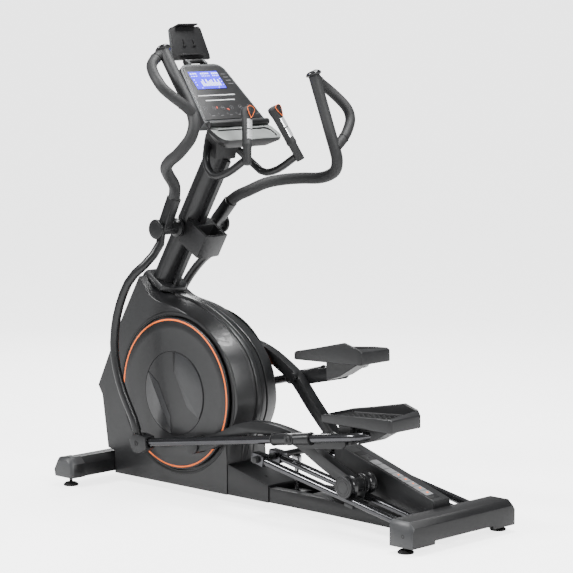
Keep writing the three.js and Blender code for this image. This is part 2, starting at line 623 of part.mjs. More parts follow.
/** A foot pedal: a rimmed tread, taller on its inner side, with hinge lugs and a keel underneath. */
function makePedal(side) {
  const hinge = pedalPoint(side, PEDAL_HINGE, PEDAL_HINGE_RISE);
  const at = (u, off, w) => onSide(
    side, new THREE.Vector2(u, w).rotateAround(new THREE.Vector2(), side.pedalTilt).add(hinge), off,
  );
  const stations = [
    { u: PEDAL_FRONT, half: 74, outer: 24, inner: 24 },
    { u: PEDAL_FRONT + 14, half: 80, outer: 29, inner: 31 },
    { u: 0, half: PEDAL_HALF_WIDTH, outer: 35, inner: 46 },
    { u: 150, half: PEDAL_HALF_WIDTH, outer: 45, inner: 76 },
    { u: PEDAL_REAR - 18, half: 81, outer: 46, inner: 60 },
    { u: PEDAL_REAR, half: 73, outer: 42, inner: 44 },
  ];
  const outer = loft(stations.map((station) => [
    at(station.u, Y_PEDAL - station.half, PEDAL_BASE), at(station.u, Y_PEDAL + station.half, PEDAL_BASE),
    at(station.u, Y_PEDAL + station.half, PEDAL_BASE + station.outer),
    at(station.u, Y_PEDAL - station.half, PEDAL_BASE + station.inner),
  ]));
  const tread = loft(stations.slice(1, 5).map((station) => {
    const edge = station.half - PEDAL_RIM;
    const floor = PEDAL_BASE + station.outer - TREAD_DEPTH;
    return [
      at(station.u, Y_PEDAL - edge, floor), at(station.u, Y_PEDAL + edge, floor),
      at(station.u, Y_PEDAL + edge, floor + 80), at(station.u, Y_PEDAL - edge, floor + 80),
    ];
  }));
  const lugOutline = [[-30, PEDAL_BASE + 2], [-17, -8], [0, -15], [17, -8], [30, PEDAL_BASE + 2]];
  const keelOutline = [[26, PEDAL_BASE + 2], [26, -12], [90, 6], [172, PEDAL_BASE - 6], [172, PEDAL_BASE + 2]];
  const slab = (outline, near, far) => loft([near, far].map((off) => outline.map(([u, w]) => at(u, off, w))));
  const bore = rod(at(0, 0, 0), at(0, 160, 0), 8 + GAP, 12);
  addPart(`pedal_${side.name}`, joined(
    outer.subtract(tread),
    slab(lugOutline, LUG_NEAR, LUG_NEAR + LUG_THICK),
    slab(lugOutline, LUG_FAR - LUG_THICK, LUG_FAR),
    slab(keelOutline, 44, LUG_NEAR + 2),
  ).subtract(bore), 'plastic');
}

// ---------------------------------------------------------------- curved arms and rollers

const WHEEL_HALF = 17;
const WHEEL_RADIUS = 36;
const ROLLER_AXLE = 10;
const CARRIAGE_NEAR = 5;         // thickness of a carriage plate

function armPoint(side, along, rise) {
  return side.roller.clone().addScaledVector(side.armAlong, along).addScaledVector(side.armUp, rise);
}

function makeCurvedArm(side) {
  const s = side.sign;
  const centreLine = [
    [15, 5], [150, 58], [PEDAL_PIVOT_ALONG, 106], [350, 120], [420, 123], [500, 112], [570, 86], [640, 48],
    [700, 18], [ARM_LENGTH - 8, 0],
  ].map(([along, rise]) => onSide(side, armPoint(side, along, rise), Y_ARM));
  const bar = swept(new THREE.CatmullRomCurve3(centreLine, false, 'centripetal'),
    [[-ARM_WIDTH / 2, -ARM_HEIGHT / 2], [ARM_WIDTH / 2, -ARM_HEIGHT / 2], [ARM_WIDTH / 2, ARM_HEIGHT / 2],
      [-ARM_WIDTH / 2, ARM_HEIGHT / 2]], 22);
  const eye = crossRod(side.roller, s * (Y_ARM - ARM_WIDTH / 2), s * (Y_ARM + ARM_WIDTH / 2), 24, 18);
  const bore = crossRod(side.roller, s * (Y_ARM - 40), s * (Y_ARM + 40), ROLLER_AXLE + GAP, 14);
  const pinBoss = crossRod(side.pin, s * (Y_DISC_FACE + RUN), s * 168, 30, 20);
  const pivotBolt = crossRod(side.pedalPivot, s * 112, s * (Y_ARM - ARM_WIDTH / 2 + 1), 13, 12);
  addPart(`curved_arm_${side.name}`, joined(bar, eye, pinBoss, pivotBolt).subtract(bore), 'paint');
}

/** The roller carriage: a fork round the arm's eye, with a hook that reaches under the rails. */
function makeCarriage(side) {
  const s = side.sign;
  const near = Y_ARM - ARM_WIDTH / 2 - GAP;
  const far = Y_ARM + ARM_WIDTH / 2 + GAP;
  const frame = ([u, v]) => {
    const p = side.roller.clone().addScaledVector(railAlong, u).addScaledVector(railUp, v);
    return [p.x, p.y];
  };
  const cheek = [[-14, 24], [14, 24], [26, 6], [26, -34], [20, -62], [-6, -62], [-26, -6]].map(frame);
  const bridge = [[-6, -62], [-6, -44], [22, -44], [20, -62]].map(frame);
  const hook = [[-4, -70], [-4, -58], [34, -58], [34, -70]].map(frame);
  const body = joined(
    plateOn(side, cheek, near - CARRIAGE_NEAR, near),
    plateOn(side, cheek, far, far + CARRIAGE_NEAR),
    plateOn(side, bridge, near - 1, far + 1),
    plateOn(side, hook, Y_INNER_RAIL + 2, Y_OUTER_RAIL - 2),
  );
  const bore = crossRod(side.roller, s * 60, s * 240, ROLLER_AXLE + GAP, 14);
  addPart(`roller_carriage_${side.name}`, body.subtract(bore), 'plastic');
}

function makeRollers(side) {
  for (const [label, y] of [['inner', Y_INNER_RAIL], ['outer', Y_OUTER_RAIL]]) {
    const bore = ROLLER_AXLE + GAP;
    const halfProfile = [[bore, WHEEL_HALF], [WHEEL_RADIUS, WHEEL_HALF], [WHEEL_RADIUS, 14.2], [30, 10], [25.7, 2.5]];
    const mirrored = halfProfile.map(([r, dy]) => [r, -dy]).reverse();
    const profile = [...halfProfile, ...mirrored, halfProfile[0]].map(([r, dy]) => [r, side.sign * y + dy]);
    addPart(`roller_${label}_${side.name}`, turned(side.roller, profile, 18), 'wheel');
  }
  const s = side.sign;
  const capInner = Y_INNER_RAIL - WHEEL_HALF - GAP;
  const capOuter = Y_OUTER_RAIL + WHEEL_HALF + GAP;
  const profile = [
    [0, capInner - 8], [36, capInner - 8], [38, capInner - 5], [38, capInner], [ROLLER_AXLE, capInner],
    [ROLLER_AXLE, capOuter], [38, capOuter], [38, capOuter + 5], [36, capOuter + 8], [0, capOuter + 8],
  ].map(([r, y]) => [r, s * y]);
  addPart(`roller_axle_${side.name}`, turned(side.roller, profile, 20), 'plastic');
}

// ---------------------------------------------------------------- ramp

const HINGE_EYE = 15;
const CROSSBAR_X = RAIL_FRONT_X + 22;
const CROSSBAR_RADIUS = 12;
const LIFT_SCREW = 8;

function makeRamp() {
  const crossbarAt = railAt(CROSSBAR_X);
  const crossbar = crossRod(crossbarAt, -216, 216, CROSSBAR_RADIUS, 16);
  addPart('ramp_crossbar', crossbar, 'paint');
  const hingeRoom = crossRod(rampHinge, -230, 230, HINGE_ROD + RUN / 2, 20);
  const crossbarRoom = crossRod(crossbarAt, -230, 230, CROSSBAR_RADIUS + GAP, 16);
  const clampOutline = [[-26, -15], [-26, 18], [18, 22], [30, 17], [30, -18]].map(([u, v]) => {
    const p = crossbarAt.clone().addScaledVector(railAlong, u).addScaledVector(railUp, v);
    return [p.x, p.y];
  });
  for (const side of SIDES) {
    for (const [label, y] of [['inner', Y_INNER_RAIL], ['outer', Y_OUTER_RAIL]]) {
      const rail = rod(onSide(side, railAt(RAIL_FRONT_X + 18), y), onSide(side, rampHinge, y), RAIL_RADIUS, 16);
      const clamp = plateOn(side, clampOutline, y - 17, y + 17);
      const eye = crossRod(rampHinge, side.sign * (y - 20), side.sign * (y + 20), HINGE_EYE, 16);
      const shape = joined(rail, clamp, eye).subtract(hingeRoom).subtract(crossbarRoom);
      addPart(`rail_${label}_${side.name}`, shape, 'rail');
    }
  }
  const screwTop = crossbarAt.y - CROSSBAR_RADIUS - GAP;
  const screw = rod(
    new THREE.Vector3(crossbarAt.x, 0, 50), new THREE.Vector3(crossbarAt.x, 0, screwTop), LIFT_SCREW, 14,
  );
  const collar = rod(
    new THREE.Vector3(crossbarAt.x, 0, screwTop - 22), new THREE.Vector3(crossbarAt.x, 0, screwTop), 17, 16,
  );
  addPart('lift_screw', joined(screw, collar), 'steel');
  const motor = joined(
    box(crossbarAt.x - 34, crossbarAt.x + 34, -46, 46, 33, 68),
    rod(new THREE.Vector3(crossbarAt.x + 32, 0, 50), new THREE.Vector3(crossbarAt.x + 96, 0, 50), 16, 20),
  );
  const well = box(crossbarAt.x - 13, crossbarAt.x + 13, -13, 13, 37, 90);
  addPart('lift_motor', motor.subtract(well), 'darkPlastic');
}

/** The fixed housing between the two pairs of rails, with the incline scale on its sloping top. */
function makeRampCover() {
  const WALL = 3;
  const coverAt = (grow, low) => loft([
    { x: 1128 + grow, half: 46 - grow, top: 262 - grow },
    { x: 1178 + grow, half: 56 - grow, top: 262 - grow },
    { x: 1581 - grow, half: 50 - grow, top: 134 - grow },
  ].map(({ x, half, top }) => [
    new THREE.Vector3(x, -half, low), new THREE.Vector3(x, half, low),
    new THREE.Vector3(x, half * 0.8, top), new THREE.Vector3(x, -half * 0.8, top),
  ]));
  const outer = coverAt(0, 80.6);
  const inner = coverAt(WALL, 60);
  addPart('ramp_cover', outer.subtract(inner), 'plastic');
}

// ---------------------------------------------------------------- drive and shroud

const DISC_RADIUS = 276;
const BELT_NEAR = 27;
const BELT_FAR = 37;
const SHROUD_WALL = 3.5;
const SEAM_BAND = 20;            // the band along the shroud's seam, before it tapers

function makeCrankSet() {
  addPart('crank_axle', crossRod(CRANK, -SHROUD_HALF + 6, SHROUD_HALF - 6, AXLE_RADIUS, 20), 'steel');
  for (const side of SIDES) {
    const s = side.sign;
    const profile = [
      [0, 94 + GAP], [40, 94 + GAP], [44, 101], [DISC_RADIUS - 4, 101], [DISC_RADIUS, 104],
      [DISC_RADIUS, 110], [DISC_RADIUS - 5, Y_DISC_FACE], [0, Y_DISC_FACE],
    ].map(([r, y]) => [r, s * y]);
    addPart(`crank_disc_${side.name}`, turned(CRANK, profile, 44), 'plastic');
  }
  const bore = AXLE_RADIUS + GAP;
  const pulley = [[bore, 22], [32, 22], [32, 26], [DRIVE_PULLEY, 26], [DRIVE_PULLEY, 38], [bore, 38], [bore, 22]];
  addPart('drive_pulley', turned(CRANK, pulley, 36), 'darkPlastic');
}

/** Outline of a belt run round two wheels, at a distance outside them. */
function beltOutline(distance, sides) {
  const heading = wheelbase.angle();
  const lean = beltLean;
  const arc = (centre, radius, from, to) => Array.from({ length: sides + 1 }, (_, i) => {
    const angle = from + ((to - from) * i) / sides;
    return [centre.x + radius * Math.cos(angle), centre.y + radius * Math.sin(angle)];
  });
  return [
    ...arc(CRANK, DRIVE_PULLEY + distance, heading + lean, heading - lean + 2 * Math.PI),
    ...arc(FLYWHEEL, SMALL_PULLEY + distance, heading - lean, heading + lean),
  ];
}

function makeBeltDrive() {
  const flywheel = turned(FLYWHEEL, [
    [0, -72], [FLYWHEEL_AXLE, -72], [FLYWHEEL_AXLE, -50], [84, -50], [88, -62], [108, -62], [108, -30], [88, -30],
    [84, -42], [FLYWHEEL_AXLE, -42], [FLYWHEEL_AXLE, 25], [SMALL_PULLEY, 25], [SMALL_PULLEY, 39],
    [FLYWHEEL_AXLE, 39], [FLYWHEEL_AXLE, 70], [0, 70],
  ], 28);
  addPart('flywheel', flywheel, 'steel');
  const belt = sidePlate(beltOutline(BELT_SLACK + BELT_THICK, 26), BELT_NEAR, BELT_FAR)
    .subtract(sidePlate(beltOutline(BELT_SLACK, 26), BELT_NEAR - 5, BELT_FAR + 5));
  addPart('drive_belt', belt, 'rubber');
}

/** The resistance unit: a curved shoe of magnets over the flywheel's rear rim. */
function makeMagnetBrake() {
  const arc = (radius, from, to) => Array.from({ length: 9 }, (_, i) => {
    const angle = THREE.MathUtils.degToRad(from + ((to - from) * i) / 8);
    return [FLYWHEEL.x + radius * Math.cos(angle), FLYWHEEL.y + radius * Math.sin(angle)];
  });
  const shoe = [...arc(112, 196, 262), ...arc(122, 262, 196)];
  const foot = box(150, 200, -66, -32, 84, 216);
  const clear = crossRod(FLYWHEEL, -80, -20, 111, 32);
  const brake = joined(sidePlate(shoe, -68, -26), foot).subtract(clear);
  const frameRoom = box(60, 260, -FRAME_FAR, -FRAME_NEAR + GAP, 0, 87);
  addPart('magnet_brake', brake.subtract(frameRoom), 'copper');
}

/** The shroud's outline at the centre plane, from the front foot over the top to the lower rear. */
const SHROUD_OUTLINE = [
  [STABILIZER_BACK + 3, 31], [STABILIZER_BACK + 3, 114], [38, 122], [8, 317], [-14, 352], [41, 464], [114, 607],
  [214, 779], [250, 748], [305, 723], [408, 704], [475, 683], [563, 642], [643, 587], [698, 529], [728, 468],
  [743, 398], [741, 332], [716, 268], [680, 214], [665, 152], [665, 31],
];
const TAPER_FROM = 8;            // first and last outline points that draw in towards the sides
const TAPER_TO = 19;
const TAPER_DRAW = 0.92;         // how far the side face keeps of their distance from the crank

/** The outline of the shroud's side face: the round rear half draws in towards the disc. */
function sideFaceOutline() {
  return SHROUD_OUTLINE.map(([x, z], i) => {
    if (i < TAPER_FROM || i > TAPER_TO) {
      return [x, z];
    }
    const drawn = new THREE.Vector2(x, z).sub(CRANK).multiplyScalar(TAPER_DRAW).add(CRANK);
    return [drawn.x, drawn.y];
  });
}

/** A closed body between outlines with the same point count at different distances off the centre plane. */
function sideLoft(side, outlines) {
  const count = outlines[0].points.length;
  const positions = outlines.flatMap(({ points, off }) => points.flatMap(([x, z]) => [x, side.sign * off, z]));
  const index = [];
  for (let r = 0; r < outlines.length - 1; r += 1) {
    for (let i = 0; i < count; i += 1) {
      const a = r * count + i;
      const b = r * count + ((i + 1) % count);
      index.push(a, b, b + count, a, b + count, a + count);
    }
  }
  const last = (outlines.length - 1) * count;
  const cap = (points) => THREE.ShapeUtils.triangulateShape(points.map(([x, z]) => new THREE.Vector2(x, z)), []);
  const turn = THREE.ShapeUtils.area(outlines[0].points.map(([x, z]) => new THREE.Vector2(x, z))) > 0;
  const facing = (points, [a, b, c]) => {
    const corner = [a, b, c].map((i) => new THREE.Vector2(...points[i]));
    return THREE.ShapeUtils.area(corner) > 0 === turn ? [a, b, c] : [a, c, b];
  };
  for (const triangle of cap(outlines[0].points)) {
    const [a, b, c] = facing(outlines[0].points, triangle);
    index.push(a, c, b);
  }
  for (const triangle of cap(outlines[outlines.length - 1].points)) {
    index.push(...facing(outlines[outlines.length - 1].points, triangle).map((i) => i + last));
  }
  const geometry = new THREE.BufferGeometry();
  geometry.setAttribute('position', new THREE.Float32BufferAttribute(positions, 3));
  geometry.setIndex(index);
  return solid(geometry);
}

function makeShroud() {
  const sideFace = sideFaceOutline();
  const mastRoom = mastPrism(RUN, -60, MAST_LENGTH);
  const stabilizerRoom = box(-60, STABILIZER_BACK + 1, -320, 320, 0, 112);
  const frameRoom = box(60, 690, -FRAME_FAR - RUN, FRAME_FAR + RUN, 0, 88);
  for (const side of SIDES) {
    const outer = sideLoft(side, [
      { points: SHROUD_OUTLINE, off: GAP / 2 },
      { points: SHROUD_OUTLINE, off: SEAM_BAND },
      { points: sideFace, off: SHROUD_HALF },
    ]);
    const inner = sideLoft(side, [
      { points: inset(SHROUD_OUTLINE, SHROUD_WALL), off: -10 },
      { points: inset(SHROUD_OUTLINE, SHROUD_WALL), off: SEAM_BAND },
      { points: inset(sideFace, SHROUD_WALL + 1), off: SHROUD_HALF - SHROUD_WALL },
    ]);
    const shell = outer.subtract(inner)
      .subtract(mastRoom)
      .subtract(stabilizerRoom)
      .subtract(frameRoom)
      .subtract(crossRod(CRANK, side.sign * 80, side.sign * 130, DISC_RADIUS + 6, 44));
    addPart(`shroud_${side.name}`, shell, 'plastic');
  }
}

/** The faceted collar that closes the shroud round the mast. */
function makeCollar() {
  const ring = (grow, w) => [[-68, -62], [38, -68], [64, -34], [64, 34], [38, 68], [-68, 62]].map(([u, v]) => (
    mastFrame(u * grow, v * grow).addScaledVector(mastAlong, w)));
  const START = 130;
  const collar = loft([ring(1.06, START), ring(1, 214), ring(0.93, 228)]);
  const shroudRoom = sidePlate(inset(SHROUD_OUTLINE, -GAP), -120, 120);
  addPart('mast_collar', collar.subtract(mastPrism(GAP, 0, MAST_LENGTH)).subtract(shroudRoom), 'plastic');
}

// ---------------------------------------------------------------- console

const FACE_TOP = new THREE.Vector3(432, 0, 1553);
const FACE_BOTTOM = new THREE.Vector3(612, 0, 1357);
const faceDown = FACE_BOTTOM.clone().sub(FACE_TOP).normalize();
const acrossY = new THREE.Vector3(0, 1, 0);
const faceFrame = frameAt(FACE_TOP, acrossY, faceDown.clone().negate());
const FACE_LENGTH = FACE_TOP.distanceTo(FACE_BOTTOM);
const CONSOLE_THICK = 55;
const TABLET_HINGE = new THREE.Vector2(403, 1562);

/** The console face outline: wider at the bottom, with rounded upper corners. */
function faceOutline(margin) {
  const points = [[-152 + margin, -FACE_LENGTH + margin]];
  const corner = (signY) => Array.from({ length: 5 }, (_, i) => {
    const angle = (i / 4) * Math.PI / 2;
    const radius = 42 - margin;
    return [signY * (70 - 0 + radius * Math.cos(angle)), -42 + radius * Math.sin(angle)];
  });
  const right = corner(1);
  const left = corner(-1).reverse();
  points.push([152 - margin, -FACE_LENGTH + margin], ...right, ...left);
  return points;
}

function makeConsole(gripBarRoom) {
  const ring = (margin, w) => faceOutline(margin).map(([u, v]) => faceFrame(u, v, w));
  const slab = loft([ring(8, -CONSOLE_THICK), ring(0, -CONSOLE_THICK + 12), ring(0, 0)]);
  const neckRing = (centre, halfX, halfY) => roundedRectangle(halfX * 2, halfY * 2, 10, 2)
    .map(([u, v]) => mastFrame(u, v).sub(MAST_FOOT).add(centre));
  const neck = loft([
    neckRing(MAST_TOP.clone().addScaledVector(mastAlong, GAP).addScaledVector(mastBack, MAST_SHIFT), 40, 52),
    neckRing(new THREE.Vector3(556, 0, 1330), 30, 60),
    neckRing(new THREE.Vector3(566, 0, 1368), 24, 70),
  ]);
  const lugs = [-1, 1].map((s) => joined(
    crossRod(TABLET_HINGE, s * 35, s * 47, 9, 16),
    sidePlate([[395, 1558], [404, 1571], [427, 1557], [424, 1538], [410, 1530]], Math.min(s * 35, s * 47), Math.max(s * 35, s * 47)),
  ));
  const faceRoom = loft([ring(-30, 0), ring(-30, 60)]);
  addPart('console_housing', joined(slab, neck.subtract(faceRoom), ...lugs).subtract(gripBarRoom), 'plastic');
  addPart('console_screen', loft([ring(9, GAP), ring(10, 2.5)]), 'screen');
}

const TRAY_FRONT = new THREE.Vector3(618, 0, 1347);
const TRAY_REAR = new THREE.Vector3(708, 0, 1298);

/** The accessory tray below the face, with the round ledge bar across its front. */
function makeTray(gripBarRoom) {
  const along = TRAY_REAR.clone().sub(TRAY_FRONT).normalize();
  const length = TRAY_FRONT.distanceTo(TRAY_REAR);
  const trayFrame = frameAt(TRAY_FRONT.clone().addScaledVector(along, length / 2), acrossY, along);
  const ring = (width, depth, shift, w) => roundedRectangle(width, depth, Math.min(30, depth / 3), 3)
    .map(([u, v]) => trayFrame(u, v + shift, -w));
  const up = trayFrame(0, 0, 1).sub(trayFrame(0, 0, 0));
  const flip = up.z > 0 ? 1 : -1;
  const ringAt = (width, depth, shift, depthBelow) => ring(width, depth, shift, flip * depthBelow);
  const body = loft([
    ringAt(304, length, 0, 0), ringAt(304, length, 0, 14), ringAt(236, length - 26, -6, 44),
  ]);
  const dish = loft([ringAt(264, length - 40, 12, 5), ringAt(270, length - 34, 12, -20)]);
  const ledge = crossRod(new THREE.Vector2(628, 1351), -147, 147, 12, 16);
  const faceRoom = sidePlate([[532, 1444], [612 + GAP, 1357], [572, 1310], [480, 1400]], -170, 170);
  const neckRoom = sidePlate([[490, 1234], [606, 1234], [606, 1380], [490, 1380]], -72, 72);
  const tray = joined(body.subtract(dish), ledge.subtract(faceRoom));
  addPart('console_tray', tray.subtract(faceRoom).subtract(neckRoom).subtract(gripBarRoom), 'plastic');
}

const TABLET_UP = new THREE.Vector3(-0.31, 0, 0.951).normalize();

function tabletFrame(y, s, w) {
  const back = new THREE.Vector3(TABLET_UP.z, 0, -TABLET_UP.x);
  return new THREE.Vector3(398, y, 1562).addScaledVector(TABLET_UP, s).addScaledVector(back, w);
}

function makeTabletHolder() {
  const face = (w) => [[-90, 8], [90, 8], [92, 22], [76, 122], [66, 130], [-66, 130], [-76, 122], [-92, 22]]
    .map(([y, s]) => tabletFrame(y, s, w));
  const plate = loft([face(-12), face(0)]);
  const knuckle = crossRod(TABLET_HINGE, -34, 34, 9, 16);
  const neck = loft([-34, 34].map((y) => [
    tabletFrame(y, 2, -8), tabletFrame(y, 14, -8), tabletFrame(y, 14, 0), tabletFrame(y, 2, 6),
  ]));
  const lip = loft([-58, 58].map((y) => [
    tabletFrame(y, 20, -1), tabletFrame(y, 26, -1), tabletFrame(y, 26, 16), tabletFrame(y, 20, 16),
  ]));
  addPart('tablet_holder', joined(plate, knuckle, neck, lip), 'darkPlastic');
  const strip = loft([-30, 30].map((y) => [
    tabletFrame(y, 60, -16), tabletFrame(y, 134, -16), tabletFrame(y, 134, -12 - GAP), tabletFrame(y, 60, -12 - GAP),
  ]));
  const hook = loft([-48, 48].map((y) => [
    tabletFrame(y, 130 + GAP, -16), tabletFrame(y, 135, -16), tabletFrame(y, 137, 18), tabletFrame(y, 131, 18),
  ]));
  addPart('tablet_clamp', joined(strip, hook), 'darkPlastic');
}

// ---------------------------------------------------------------- fixed handlebar

const GRIP_FOOT = { x: 805, off: 135, z: 1221 };
const GRIP_HEAD = { x: 733, off: 63, z: 1410 };
const GRIP_RADIUS = 17;
const BAR_RADIUS = 13.5;
const PAD_AT = 0.88;             // thumb button's place along the grip
const PAD_TILT = THREE.MathUtils.degToRad(31);
const PAD_RADIUS = 13;
const PAD_FLOOR = 10;
const PAD_TOP = 23;
const PAD_TRAVEL = 1.4;

function gripPoint(side, t, dx = 0, dz = 0) {
  return new THREE.Vector3(
    THREE.MathUtils.lerp(GRIP_FOOT.x, GRIP_HEAD.x, t) + dx,
    side.sign * THREE.MathUtils.lerp(GRIP_FOOT.off, GRIP_HEAD.off, t),
    THREE.MathUtils.lerp(GRIP_FOOT.z, GRIP_HEAD.z, t) + dz,
  );
}

function gripBarTube(radius, steps, sides) {
  const half = [[505, 26, 1300], [530, 56, 1272], [556, 90, 1236], [590, 116, 1196], [630, 124, 1170], [690, 127, 1180]];
  const left = half.map(([x, off, z]) => new THREE.Vector3(x, -off, z));
  const right = half.map(([x, off, z]) => new THREE.Vector3(x, off, z)).reverse();
  const ends = SIDES.map((side) => gripPoint(side, 0.1));
  return smoothTube([ends[1], ...right, ...left, ends[0]], radius, steps, sides);
}

function makeGrips() {
  const shapes = SIDES.map((side) => {
    const shaft = rod(gripPoint(side, 0), gripPoint(side, 0.9), GRIP_RADIUS, 14);
    const head = rod(gripPoint(side, 0.8), gripPoint(side, 1), GRIP_RADIUS, 14, GRIP_RADIUS + 5);
    return joined(shaft, head);
  });
  const bar = gripBarTube(BAR_RADIUS, 30, 10);
  const cut = SIDES.map((side) => rod(gripPoint(side, -0.05), gripPoint(side, 0.6), GRIP_RADIUS + GAP, 14));
  addPart('grip_bar', bar.subtract(cut[0]).subtract(cut[1]), 'paint');
  SIDES.forEach((side, i) => {
    const along = (distance) => gripPoint(side, PAD_AT, distance * Math.cos(PAD_TILT), distance * Math.sin(PAD_TILT));
    const hole = rod(along(PAD_FLOOR), along(PAD_FLOOR + 40), PAD_RADIUS + GAP, 18);
    const cap = rod(along(PAD_FLOOR + PAD_TRAVEL), along(PAD_TOP), PAD_RADIUS, 18);
    addPart(`grip_${side.name}`, shapes[i].subtract(hole), 'foam');
    addPart(`thumb_button_${side.name}`, cap, 'darkPlastic');
  });
}

// ---------------------------------------------------------------- assembly

makeBaseFrame();
makeFrontStabilizer();
makeRearStabilizer();
makeFeet();
makeShroud();
makeCollar();
makeMast();
makePivotAxle();
makeCupHolder();
makeCrankSet();
makeBeltDrive();
makeMagnetBrake();
for (const side of SIDES) {
  makeSwingArm(side);
  makeHandlebar(side);
  makeKnuckle(side);
  makePedalArm(side);
  makePedalBracket(side);
  makePedal(side);
  makeCurvedArm(side);
  makeCarriage(side);
  makeRollers(side);
}
makeRamp();
makeRampCover();
const gripBarRoom = gripBarTube(BAR_RADIUS + GAP, 30, 10);
makeConsole(gripBarRoom);
makeTray(gripBarRoom);
makeTabletHolder();
makeGrips();

group.position.x = -FOOTPRINT_CENTRE;

export default group;
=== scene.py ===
"""The looks of the elliptical trainer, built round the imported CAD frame. Metres, row frame."""

import json
import math

import bmesh
import bpy
from mathutils import Matrix, Vector
from mathutils.geometry import tessellate_polygon


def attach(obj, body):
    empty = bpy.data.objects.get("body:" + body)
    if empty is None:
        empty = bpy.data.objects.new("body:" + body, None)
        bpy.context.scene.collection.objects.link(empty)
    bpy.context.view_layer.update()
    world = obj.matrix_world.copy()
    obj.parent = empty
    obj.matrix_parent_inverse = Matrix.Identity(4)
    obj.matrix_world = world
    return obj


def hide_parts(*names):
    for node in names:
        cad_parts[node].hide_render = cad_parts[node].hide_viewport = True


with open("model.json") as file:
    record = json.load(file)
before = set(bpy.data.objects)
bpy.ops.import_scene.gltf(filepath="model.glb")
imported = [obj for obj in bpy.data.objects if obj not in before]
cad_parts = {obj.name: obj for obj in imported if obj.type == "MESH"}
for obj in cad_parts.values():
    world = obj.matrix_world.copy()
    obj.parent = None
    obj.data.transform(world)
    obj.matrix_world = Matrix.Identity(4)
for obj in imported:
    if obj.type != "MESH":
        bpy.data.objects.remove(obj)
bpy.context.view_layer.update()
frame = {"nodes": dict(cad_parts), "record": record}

NODES = frame["nodes"]
RECORD = frame["record"]
BODY_OF = {n: body for body, names in RECORD["behaviour"]["bodies"].items() for n in names}
SLOT_OF = {s["node"]: s["material_slot"] for s in RECORD["subparts"]}
JOINT_AT = {j["name"]: Vector(j["pos_m"]) for j in RECORD["behaviour"]["joints"] if "pos_m" in j}

CENTRE_X = 824.5                        # row x = design x minus this, in millimetres
MM = 0.001


def mm(x, y, z):
    """A design point in millimetres, as a row-frame point in metres."""
    return Vector(((x - CENTRE_X) * MM, y * MM, z * MM))


# ---------------------------------------------------------------- camera, floor and light

SENSOR_WIDTH = 36.0                     # millimetres, as the lens
LENS = 156.3
CLIP_END = 2000.0
CAMERA_AT = Vector((6.0190, -6.2383, 1.870))
CAMERA_RIGHT = Vector((0.7219, 0.6920, 0.0))
CAMERA_UP = Vector((-0.08597, 0.08969, 0.99225))
CAMERA_FORWARD = Vector((-0.68664, 0.71630, -0.12424))

FLOOR_REACH = 600.0
FLOOR_GLOW = 0.12                       # as a light, and as the camera sees it
FLOOR_GLOW_SEEN = 3.2
AMBIENT_COLOR = (0.96, 0.98, 1.0, 1.0)
AMBIENT_STRENGTH = 0.24
BACKDROP_COLOR = (1.0, 1.0, 1.0, 1.0)
BACKDROP_STRENGTH = 4.0
LIGHTS = [                              # name, place, target, size and power
    ("key", (-1.6, -3.4, 3.6), (0, 0, 0.6), (1.4, 0.6), 270),
    ("side", (3.6, -0.6, 2.6), (0, 0, 0.7), (0.5, 2.4), 130),
    ("top", (0.3, 0.6, 4.2), (0, 0, 0.6), (1.0, 1.4), 250),
    ("rim", (-3.0, 2.4, 2.2), (0, 0, 0.9), (0.8, 2.0), 60),
]


def place_camera():
    """The camera at the photograph's viewing angle."""
    data = bpy.data.cameras.new("camera")
    data.sensor_width = SENSOR_WIDTH
    data.lens = LENS
    data.clip_end = CLIP_END
    camera = bpy.data.objects.new("camera", data)
    bpy.context.scene.collection.objects.link(camera)
    turn = Matrix((CAMERA_RIGHT, CAMERA_UP, -CAMERA_FORWARD)).transposed().to_4x4()
    camera.matrix_world = Matrix.Translation(CAMERA_AT) @ turn
    bpy.context.scene.camera = camera


def area_light(name, at, target, size, power):
    """A rectangular light aimed at a point."""
    data = bpy.data.lights.new(name, "AREA")
    data.shape = "RECTANGLE"
    data.size = size[0]
    data.size_y = size[1]
    data.energy = power
    light = bpy.data.objects.new(name, data)
    bpy.context.scene.collection.objects.link(light)
    light.location = at
    light.rotation_euler = (Vector(target) - Vector(at)).to_track_quat("-Z", "Y").to_euler()


def build_world():
    """A soft white surround, with a brighter backdrop that only the camera sees."""
    world = bpy.data.worlds.new("studio")
    bpy.context.scene.world = world
    world.use_nodes = True
    tree = world.node_tree
    soft = tree.nodes["Background"]
    soft.inputs["Color"].default_value = AMBIENT_COLOR
    soft.inputs["Strength"].default_value = AMBIENT_STRENGTH
    backdrop = tree.nodes.new("ShaderNodeBackground")
    backdrop.inputs["Color"].default_value = BACKDROP_COLOR
    backdrop.inputs["Strength"].default_value = BACKDROP_STRENGTH
    seen = tree.nodes.new("ShaderNodeLightPath")
    mix = tree.nodes.new("ShaderNodeMixShader")
    tree.links.new(seen.outputs["Is Camera Ray"], mix.inputs["Fac"])
    tree.links.new(soft.outputs["Background"], mix.inputs[1])
    tree.links.new(backdrop.outputs["Background"], mix.inputs[2])
    tree.links.new(mix.outputs["Shader"], tree.nodes["World Output"].inputs["Surface"])


